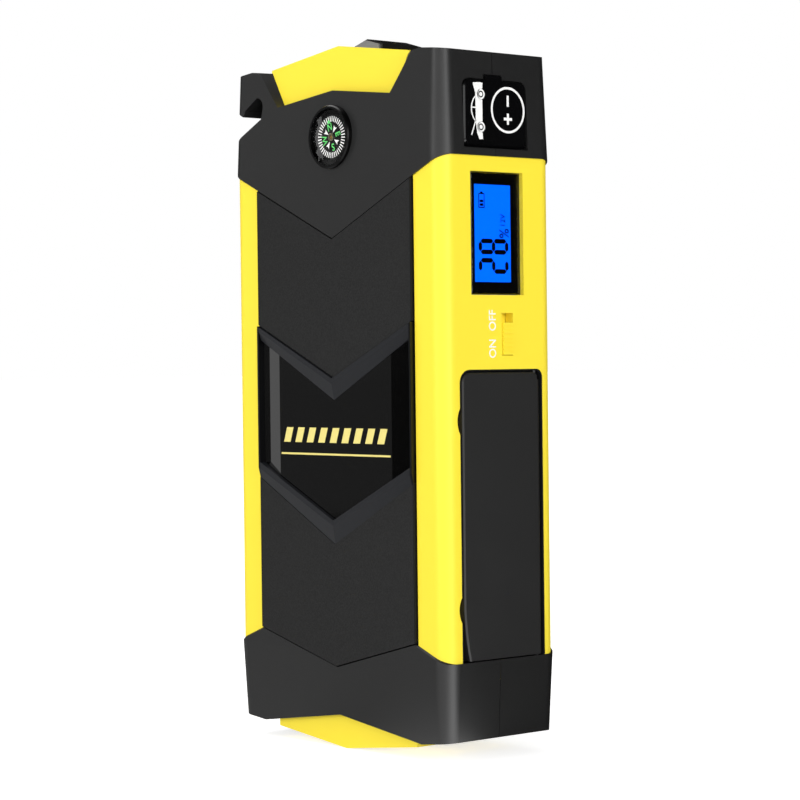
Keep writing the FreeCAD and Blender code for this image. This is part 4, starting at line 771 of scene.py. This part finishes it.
def strip_row_tree() -> NodeTree:
    """A row of flat strips along Y, repeated down -Z.

    Returns:
        The tree.
    """
    tree = NodeTree("strip_rows", {
        "Across": ("Int", 4), "Down": ("Int", 4), "Size": ("Vector", None), "Start": ("Vector", None),
        "Step across": ("Vector", None), "Step down": ("Vector", None)})
    source = tree.source
    strip = tree.add("GeometryNodeMeshCube", {"Size": source["Size"]})
    row = tree.add("GeometryNodeMeshLine", {
        "Count": source["Across"], "Start Location": source["Start"], "Offset": source["Step across"]})
    strips = tree.add("GeometryNodeInstanceOnPoints", {
        "Points": row.outputs["Mesh"], "Instance": strip.outputs["Mesh"]})
    column = tree.add("GeometryNodeMeshLine", {"Count": source["Down"], "Offset": source["Step down"]})
    rows = tree.add("GeometryNodeInstanceOnPoints", {
        "Points": column.outputs["Mesh"], "Instance": strips.outputs["Instances"]})
    tree.close(rows.outputs["Instances"])
    return tree


# ---------------------------------------------------------------- compass

@dataclass
class Compass:
    """Dial marks on the compass card, in millimetres.

    Attributes:
        tilt: Turn of north, in degrees.
        ticks: Number of ticks.
        tick_outer: Distance of the ticks' outer ends from the middle.
        tick: Length, width and thickness of a tick.
        letter_radius: Distance of the letters from the middle.
        letter: Height of a letter, and its width over the font's own.
        dot: Radius of north's dot, its distance from the middle and its height over the card.
        wedge: Distances of a wedge's tip, notch and outer corners from the middle.
        wedge_half_width: Half of its width.
        hub: Outer and inner radius and thickness of the ring round the pin.
    """

    tilt: float = 14.0
    ticks: int = 40
    tick_outer: float = 5.0
    tick: Triple = (1.3, 0.26, 0.04)
    letter_radius: float = 2.5
    letter: Point = (1.75, 0.9)
    dot: Triple = (0.45, 3.75, 0.03)
    wedge: Triple = (1.2, 2.55, 2.9)
    wedge_half_width: float = 0.6
    hub: Triple = (0.95, 0.55, 0.25)

    def face(self) -> Vector:
        """Middle of the card's face, in millimetres."""
        low, high = node_box("compass_card")
        return Vector(((low.x + high.x) / 2, low.y - STAND_OFF, (low.z + high.z) / 2))

    def direction(self, quarter: float) -> Vector:
        """Direction on the dial.

        Args:
            quarter: Quarter turns from north, against the clock.

        Returns:
            The unit vector, to the right and up.
        """
        angle = math.radians(90 + self.tilt + 90 * quarter)
        return Vector((math.cos(angle), math.sin(angle)))

    def add_ticks(self) -> None:
        """Print the ring of ticks."""
        span, width, film = self.tick
        ring = tick_ring_tree().make("compass_ticks", {
            "Count": self.ticks, "Radius": (self.tick_outer - span / 2) * MM, "Length": span * MM,
            "Width": width * MM, "Thickness": film * MM, "Centre": tuple(self.face() * MM),
            "Turn": math.radians(self.tilt), "Material": WHITE.build()})
        finished(ring, WHITE, Body.CARD)

    def add_letters(self) -> None:
        """Print the four letters and a dot beyond north."""
        for index, letter in enumerate("NWSE"):
            offset = Facing.FRONT.value @ (self.direction(index) * self.letter_radius).to_3d()
            Print(f"compass_letter_{letter}", Facing.FRONT, self.face() + offset, GREEN, Body.CARD,
                  turn=self.tilt + 90 * index).letters(letter, *self.letter)
        size, distance, lift = self.dot
        dot = Outline()
        dot.ring(tuple(self.direction(0) * distance), size, 0, 20)
        Print("compass_north_dot", Facing.FRONT, self.face() - Vector((0, lift, 0)), GREEN,
              Body.CARD).outline(dot)

    def add_wedges(self) -> None:
        """Print the white wedges between the letters."""
        wedges = Outline()
        for index in range(4):
            along = self.direction(index - 0.5)
            across = Vector((-along.y, along.x)) * self.wedge_half_width
            tip, notch, end = (along * distance for distance in self.wedge)
            wedges.polygon(tuple(tip), tuple(end - across), tuple(notch), tuple(end + across))
        Print("compass_wedges", Facing.FRONT, self.face(), WHITE, Body.CARD).outline(wedges)

    def add_hub(self) -> None:
        """Press a bright ring round the pin."""
        outer, inner, film = self.hub
        hub = Outline()
        hub.ring((0, 0), outer, inner, 36)
        Print("compass_hub", Facing.FRONT, self.face(), HUB, Body.CARD, film).outline(hub)

    def build(self) -> None:
        """Print the whole dial."""
        self.add_ticks()
        self.add_letters()
        self.add_wedges()
        self.add_hub()


# ---------------------------------------------------------------- display

class Segment(Enum):
    """The seven bars of a digit, as corner pairs on a grid one wide and two high."""

    TOP = ((0, 2), (1, 2))
    UPPER_LEFT = ((0, 1), (0, 2))
    UPPER_RIGHT = ((1, 1), (1, 2))
    MIDDLE = ((0, 1), (1, 1))
    LOWER_LEFT = ((0, 0), (0, 1))
    LOWER_RIGHT = ((1, 0), (1, 1))
    BOTTOM = ((0, 0), (1, 0))


DIGITS: dict[int, tuple[Segment, ...]] = {
    2: (Segment.TOP, Segment.UPPER_RIGHT, Segment.MIDDLE, Segment.LOWER_LEFT, Segment.BOTTOM),
    8: tuple(Segment),
}


@dataclass
class Display:
    """Dark segments on the lit screen, reading from the bottom up.

    Attributes:
        digit_width: Width of a digit in millimetres.
        digit_height: Height of a digit.
        stroke: Thickness of a segment.
        gap: Gap between segments.
        spacing: Gap between the digits.
        film: Thickness of the segments.
        border: Width of the mask in front of the screen and below it.
        digits_at: Place of the digits' lower left corner, up the screen and back across it.
        signs: Each small sign with its name, height, width over the font's own, and middle.
        battery_at: Middle of the battery sign.
        battery: Middle and size of each bar of that sign.
    """

    digit_width: float = 3.65
    digit_height: float = 9.5
    stroke: float = 1.1
    gap: float = 0.1
    spacing: float = 0.85
    film: float = 0.01
    border: Point = (2.1, 2.9)
    digits_at: Point = (1.95, 10.75)
    signs: tuple[tuple[str, str, Point, Point], ...] = (
        ("%", "display_percent", (3.0, 0.8), (11.4, 9.4)),
        ("12V", "display_volts", (1.5, 0.9), (14.6, 9.0)))
    battery_at: Point = (18.9, 2.3)
    battery: tuple[tuple[Point, Point], ...] = (
        ((0, 0.85), (3.2, 0.25)), ((0, -0.85), (3.2, 0.25)), ((-1.6, 0), (0.25, 1.95)),
        ((1.6, 0), (0.25, 1.95)), ((1.9, 0), (0.35, 0.8)), ((-0.95, 0), (0.6, 1.1)),
        ((-0.1, 0), (0.6, 1.1)))

    def origin(self, along: float, across: float) -> Vector:
        """Point on the screen face.

        Args:
            along: Distance up from the screen's lower end.
            across: Distance back from the screen's front edge.

        Returns:
            The point in millimetres.
        """
        low, _ = node_box("display_bezel")
        face = node_box("display_screen")[1].x
        return Vector((face + STAND_OFF, low.y + self.border[0] + across,
                       low.z + self.border[1] + along))

    def digit(self, outline: Outline, number: int, left: float, low: float) -> None:
        """Draw one digit upright.

        Args:
            outline: Where to draw it.
            number: The digit.
            left: Left edge.
            low: Lower edge.
        """
        width = self.digit_width - self.stroke
        height = (self.digit_height - self.stroke) / 2
        half = self.stroke / 2
        for segment in DIGITS[number]:
            (x0, y0), (x1, y1) = segment.value
            start = Vector((left + half + x0 * width, low + half + y0 * height))
            end = Vector((left + half + x1 * width, low + half + y1 * height))
            along = (end - start).normalized()
            across = Vector((-along.y, along.x)) * half
            start += along * self.gap
            end -= along * self.gap
            outline.polygon(tuple(start), tuple(start + along * half - across),
                            tuple(end - along * half - across), tuple(end),
                            tuple(end - along * half + across), tuple(start + along * half + across))

    def sheet(self, name: str, place: Point) -> Print:
        """Start a piece on the screen.

        Args:
            name: Piece name.
            place: Where its origin goes, up the screen and back across it.

        Returns:
            The piece, still to be printed.
        """
        return Print(name, Facing.SIDE, self.origin(*place), INK, Body.PACK, self.film)

    def build(self) -> None:
        """Draw the charge level, the percent sign, the volts and a battery sign."""
        digits = Outline()
        self.digit(digits, 2, 0.0, 0.0)
        self.digit(digits, 8, self.digit_width + self.spacing, 0.0)
        self.sheet("display_digits", self.digits_at).outline(digits)
        for words, name, size, place in self.signs:
            self.sheet(name, place).letters(words, *size)
        battery = Outline()
        for middle, size in self.battery:
            battery.bar(middle, size)
        self.sheet("display_battery_sign", self.battery_at).outline(battery)


# ---------------------------------------------------------------- printed marks

@dataclass
class SwitchMarks:
    """White ON and OFF beside the slide switch, reading from the bottom up.

    Attributes:
        height: Height of the letters in millimetres.
        stretch: Their width over the font's own.
        across: Their middle line, along Y.
        words: Each word and the height of its middle.
    """

    height: float = 2.15
    stretch: float = 0.92
    across: float = -2.3
    words: tuple[tuple[str, float], ...] = (("OFF", 102.4), ("ON", 95.8))

    def build(self) -> None:
        """Print both words."""
        face = node_box("front_housing")[1].x
        for word, middle in self.words:
            Print(f"switch_word_{word}", Facing.SIDE, Vector((face, self.across, middle)), WHITE,
                  Body.PACK).letters(word, self.height, self.stretch)


@dataclass
class WindowMarks:
    """Plain bars and a rule on the window, like a level gauge, in millimetres.

    Attributes:
        bars: Number of bars.
        pitch: Distance from bar to bar.
        bar: Width and height of a bar.
        lean: Sideways shift of a bar's top over its height.
        rule: Width and height of the rule.
        rule_drop: Distance of the rule below the middle of the bars.
        height: Height of that middle on the pack.
    """

    bars: int = 9
    pitch: float = 4.4
    bar: Point = (2.5, 3.6)
    lean: float = 0.35
    rule: Point = (41.0, 0.45)
    rule_drop: float = 4.6
    height: float = 75.5

    def build(self) -> None:
        """Print the gauge."""
        face = node_box("window_plate")[0].y
        gauge = Outline()
        for index in range(self.bars):
            gauge.bar(((index - (self.bars - 1) / 2) * self.pitch, 0), self.bar, self.lean)
        gauge.bar((0, -self.rule_drop), self.rule)
        Print("window_gauge", Facing.FRONT, Vector((0, face, self.height)), PALE,
              Body.PACK).outline(gauge)


@dataclass
class CoverMarks:
    """White ring with the two pole signs and a plain car sign on the socket cover, in millimetres.

    Attributes:
        ring: Outer and inner radius of the ring.
        ring_at: Middle of the ring, along Y and up.
        pole: Length and thickness of the signs' strokes, and their distance from the middle.
        car_at: Middle of the car sign, along Y and up.
        wheels: Place of the wheels along the car.
        axle: Height of the wheels' middles.
        wheel: Outer and inner radius of a tyre, and radius of the disc in it.
        arch: Half width, height and foot of a wheel arch.
        tail: Lower tail end of the body.
        waist: Upper outline of the body, from its nose.
        roof_start: Rear end of the roof's arch.
        roof: Length and height of the arch, and the power that fills out its ends.
        roof_half: Half of the arch's thickness.
        pillar: Middle and size of the pillar.
        bonnet: Outline of the raised bonnet.
    """

    ring: Point = (5.4, 4.85)
    ring_at: Point = (3.2, 151.4)
    pole: Triple = (2.6, 0.65, 2.1)
    car_at: Point = (-6.3, 150.8)
    wheels: Point = (-3.7, 3.85)
    axle: float = -0.95
    wheel: Triple = (1.2, 0.8, 0.5)
    arch: Triple = (1.3, 1.35, -1.4)
    tail: Point = (-6.5, -1.5)
    waist: tuple[Point, ...] = ((6.5, -1.5), (6.6, -0.6), (6.4, 1.5), (5.7, 1.4), (4.2, 0.8), (-2.4, 0.7),
                                (-5.2, 0.3), (-6.6, -0.4))
    roof_start: Point = (-2.5, 0.7)
    roof: Triple = (5.9, 1.35, 0.7)
    roof_half: float = 0.17
    pillar: tuple[Point, Point] = ((0.7, 1.3), (0.28, 1.2))
    bonnet: tuple[Point, ...] = ((-2.2, 0.5), (-2.1, 0.8), (-5.6, 2.2), (-5.75, 1.9))

    def origin(self, across: float, height: float) -> Vector:
        """Point on the cover's face in millimetres."""
        return Vector((node_box("socket_cover")[1].x, across, height))

    def car_body(self) -> list[Point]:
        """Side view of a plain car up to its waist, with the wheel arches left out.

        Returns:
            The closed outline.
        """
        steps = 8
        half, rise, foot = self.arch
        under = [self.tail]
        for middle in self.wheels:
            for step in range(steps + 1):
                angle = math.pi * (1 - step / steps)
                under.append((middle + half * math.cos(angle), foot + rise * math.sin(angle)))
        return under + list(self.waist)

    def add_cabin(self, car: Outline) -> None:
        """Draw the roof as a thin arch with a pillar, and the raised bonnet.

        Args:
            car: Where to draw them.
        """
        steps = 10
        (start, foot), (span, rise, bulge), half = self.roof_start, self.roof, self.roof_half
        arch = [(start + span * step / steps, foot + rise * math.sin(math.pi * step / steps) ** bulge)
                for step in range(steps + 1)]
        for (x0, y0), (x1, y1) in zip(arch, arch[1:]):
            car.polygon((x0, y0 - half), (x1, y1 - half), (x1, y1 + half), (x0, y0 + half))
        car.bar(*self.pillar)
        car.polygon(*self.bonnet)

    def add_poles(self, ring: Outline) -> None:
        """Draw the plus and the minus.

        Args:
            ring: Where to draw them.
        """
        span, thickness, distance = self.pole
        for middle in (-distance, distance):
            ring.bar((middle, 0), (span, thickness))
        arm = (span - thickness) / 2
        for side in (1, -1):
            ring.bar((-distance, side * (thickness + arm) / 2), (thickness, arm))

    def build(self) -> None:
        """Print both signs."""
        ring = Outline()
        ring.ring((0, 0), *self.ring)
        self.add_poles(ring)
        car = Outline()
        car.polygon(*self.car_body())
        self.add_cabin(car)
        outer, inner, disc = self.wheel
        for middle in self.wheels:
            car.ring((middle, self.axle), outer, inner, 28)
            car.ring((middle, self.axle), disc, 0.0, 20)
        for name, place, artwork in (("cover_ring", self.ring_at, ring),
                                     ("cover_car_sign", self.car_at, car)):
            Print(name, Facing.SIDE, self.origin(*place), WHITE, Body.COVER).outline(artwork)


@dataclass
class PortContacts:
    """Gold strips under the tongues of the data sockets, in millimetres.

    Attributes:
        across: Strips under one tongue.
        down: Number of tongues.
        strip: Length, width and thickness of a strip.
        pitch: Distance from strip to strip.
        first: Place of the first strip along Y, from the tongues' middle.
        tongue: Thickness of a tongue.
        start: Place of the top row, behind the tongue's tip and below its upper face.
    """

    across: int = 4
    down: int = 4
    strip: Triple = (6.4, 1.0, 0.12)
    pitch: float = 2.33
    first: float = -3.5
    tongue: float = 1.9
    start: Point = (4.6, 1.95)

    def build(self) -> None:
        """Lay the strips."""
        low, high = node_box("usb_tongues")
        drop = (high.z - low.z - self.tongue) / (self.down - 1)
        start = Vector((high.x - self.start[0], (low.y + high.y) / 2 + self.first,
                        high.z - self.start[1]))
        strips = strip_row_tree().make("usb_contact_strips", {
            "Across": self.across, "Down": self.down, "Size": tuple(Vector(self.strip) * MM),
            "Start": tuple(start * MM), "Step across": (0, self.pitch * MM, 0),
            "Step down": (0, 0, -drop * MM), "Material": GOLD.build()})
        finished(strips, GOLD, Body.PACK)


# ---------------------------------------------------------------- studio

@dataclass(frozen=True)
class Softbox:
    """A rectangular lamp that faces the middle of the pack.

    Attributes:
        name: Lamp name.
        azimuth: Direction from the pack, in degrees from +X towards +Y.
        distance: Distance from the pack's axis in metres.
        height: Height of its middle in metres.
        size: Width and height in metres.
        radiance: Brightness of its face, where 1 is white.
        target: Point that it faces, in metres.
    """

    name: str
    azimuth: float
    distance: float
    height: float
    size: Point
    radiance: float
    target: Triple = (0.0, 0.0, 0.085)

    def build(self) -> None:
        """Hang the lamp."""
        lamp = bpy.data.lights.new(self.name, "AREA")
        lamp.shape = "RECTANGLE"
        lamp.size, lamp.size_y = self.size
        lamp.energy = self.radiance * math.pi * self.size[0] * self.size[1]
        angle = math.radians(self.azimuth)
        place = Vector((math.cos(angle) * self.distance, math.sin(angle) * self.distance, self.height))
        holder = bpy.data.objects.new(self.name, lamp)
        holder.location = place
        aim = Vector(self.target) - place
        holder.rotation_euler = aim.to_track_quat("-Z", "Y").to_euler()
        bpy.context.scene.collection.objects.link(holder)


@dataclass(frozen=True)
class Viewpoint:
    """Camera place and turn.

    Attributes:
        place: Position in metres.
        yaw: Turn to the right of looking along +Y, in degrees.
        pitch: Height angle of the camera over the target.
        roll: Turn about the line of sight.
        focal: Focal length over the sensor's width.
        sensor: Width of the sensor in millimetres.
        clip: Nearest and farthest distance seen, in metres.
    """

    place: Triple = (0.46943, -0.40561, 0.0935)
    yaw: float = 48.967
    pitch: float = 0.910
    roll: float = -0.672
    focal: float = 3.17125
    sensor: float = 36.0
    clip: Point = (0.01, 50.0)

    def build(self) -> None:
        """Set the scene's camera."""
        yaw, pitch, roll = (math.radians(value) for value in (self.yaw, self.pitch, self.roll))
        back = Vector((math.sin(yaw) * math.cos(pitch), -math.cos(yaw) * math.cos(pitch),
                       math.sin(pitch)))
        right = Vector((math.cos(yaw), math.sin(yaw), 0))
        above = back.cross(right)
        across = right * math.cos(roll) + above * math.sin(roll)
        upward = above * math.cos(roll) - right * math.sin(roll)
        data = bpy.data.cameras.new("camera")
        data.sensor_width = self.sensor
        data.lens = self.focal * self.sensor
        data.clip_start, data.clip_end = self.clip
        camera = bpy.data.objects.new("camera", data)
        camera.matrix_world = Matrix.Translation(self.place) @ Matrix(
            (across, upward, back)).transposed().to_4x4()
        bpy.context.scene.collection.objects.link(camera)
        bpy.context.scene.camera = camera


@dataclass
class Studio:
    """Pale floor, white background and soft lamps.

    Attributes:
        lamps: The lamps.
        surroundings: Brightness of the world as a light, where 1 is white.
        reflected: Brightness of the world in reflections.
        floor_mirror: Azimuth from the pack in degrees, and brightness of the floor there in reflections.
        floor_fade: Distances between which the reflected floor fades out, in metres.
        floor_glow: Light that the floor adds to its own white near the pack and far from it.
        glow_fade: Distances between which it changes, in metres.
        floor_reach: Half of the floor's width in metres.
        floor_tint: Lightness of the floor.
        floor_gloss: Roughness and specular level of the floor.
    """

    lamps: tuple[Softbox, ...] = (
        Softbox("front_softbox", 256.0, 1.2, 0.4, (0.2, 0.8), 7.6),
        Softbox("front_fill", 294.0, 1.3, 0.3, (1.5, 0.6), 2.0),
        Softbox("middle_softbox", 331.0, 1.2, 0.3, (0.45, 0.6), 2.2),
        Softbox("corner_softbox", 353.0, 1.2, 0.3, (0.47, 0.6), 6.6),
        Softbox("facet_softbox", 208.2, 0.9, 0.2, (0.2, 0.45), 0.95),
        Softbox("window_softbox", 220.9, 0.9, 0.2, (0.19, 0.45), 0.15),
        Softbox("top_softbox", 200.0, 0.8, 1.2, (0.9, 0.9), 3.0),
    )
    surroundings: float = 0.28
    reflected: float = 0.01
    floor_mirror: tuple[Point, ...] = (
        (180.0, 0.4), (228.0, 0.5), (240.0, 0.2), (256.0, 0.2), (265.0, 0.6), (320.0, 1.2), (340.0, 4.2),
        (356.0, 4.2), (363.0, 0.0))
    floor_fade: Point = (0.35, 0.8)
    floor_glow: Point = (0.7, 1.0)
    glow_fade: Point = (0.1, 0.7)
    floor_reach: float = 12.0
    floor_tint: float = 0.86
    floor_gloss: Point = (0.9, 0.1)

    def floor_tone(self, tree: Tree, place: Socket) -> Socket:
        """Brightness of the floor in reflections, by direction and distance from the pack.

        Args:
            tree: Nodes to add to.
            place: Place on the floor.

        Returns:
            The strength.
        """
        x, y, _ = add_node(tree, "ShaderNodeSeparateXYZ", place).outputs
        turn = remap(tree, scalar(tree, "ARCTAN2", y, x), (-math.pi, math.pi))
        ramp = add_node(tree, "ShaderNodeValToRGB", turn)
        stops = ramp.color_ramp.elements
        peak = max(tone for _, tone in self.floor_mirror)
        marks = [((azimuth + 180) % 360 / 360, tone / peak) for azimuth, tone in self.floor_mirror]
        for index, (position, tone) in enumerate(marks):
            stop = stops[0] if index == 0 else stops.new(position)
            stop.position = position
            stop.color = (tone, tone, tone, 1)
        stops[len(stops) - 1].color = (0, 0, 0, 1)
        near = remap(tree, length(tree, place), self.floor_fade, (peak, 0.0))
        return scalar(tree, "MULTIPLY", near, ramp.outputs["Color"])

    def set_world(self) -> None:
        """Make the background white to the eye, even as a light and dim in reflections."""
        world = bpy.data.worlds.new("studio")
        bpy.context.scene.world = world
        world.use_nodes = True
        tree = world.node_tree
        path = add_node(tree, "ShaderNodeLightPath").outputs
        plain, dim, white = (
            add_node(tree, "ShaderNodeBackground", (1, 1, 1, 1), strength).outputs["Background"]
            for strength in (self.surroundings, self.reflected, 1.0))
        result = mixed(tree, path["Is Glossy Ray"], plain, dim)
        result = mixed(tree, path["Is Camera Ray"], result, white)
        tree.links.new(result, tree.nodes["World Output"].inputs["Surface"])

    def floor_material(self) -> Material:
        """Make the floor read white beyond the pack's own shadow.

        Returns:
            The material.
        """
        roughness, specular = self.floor_gloss
        material = plain_material("pale_floor", {
            "Base Color": (self.floor_tint, self.floor_tint, self.floor_tint, 1),
            "Roughness": roughness, "Specular IOR Level": specular})
        tree = material.node_tree
        path = add_node(tree, "ShaderNodeLightPath").outputs
        place = object_place(tree)
        fade = remap(tree, length(tree, place), self.glow_fade, self.floor_glow)
        seen = scalar(tree, "MULTIPLY", path["Is Camera Ray"], fade)
        glow, mirror = (
            add_node(tree, "ShaderNodeEmission", None, strength).outputs["Emission"]
            for strength in (seen, self.floor_tone(tree, place)))
        total = add_node(tree, "ShaderNodeAddShader", tree.nodes["Principled BSDF"].outputs["BSDF"], glow)
        surface = mixed(tree, path["Is Glossy Ray"], total.outputs["Shader"], mirror)
        tree.links.new(surface, tree.nodes["Material Output"].inputs["Surface"])
        return material

    def lay_floor(self) -> None:
        """Lay the floor under the pack."""
        mesh = bpy.data.meshes.new("floor")
        reach = self.floor_reach
        mesh.from_pydata([(-reach, -reach, 0), (reach, -reach, 0), (reach, reach, 0),
                          (-reach, reach, 0)], [], [(0, 1, 2, 3)])
        mesh.materials.append(self.floor_material())
        floor = linked("floor", mesh)

    def build(self) -> None:
        """Set up the whole studio."""
        bpy.context.scene.view_settings.view_transform = "Standard"
        self.set_world()
        self.lay_floor()
        for lamp in self.lamps:
            lamp.build()
        Viewpoint().build()


def main() -> None:
    """Dress the frame, print the marks and light the pack."""
    logging.basicConfig(level=logging.INFO, format="%(name)s: %(message)s")
    Studio().build()
    dress_frame()
    for maker in (Compass(), Display(), SwitchMarks(), WindowMarks(), CoverMarks(), PortContacts()):
        maker.build()
        LOG.info("made %s", type(maker).__name__)


if __name__ == "__main__":
    main()
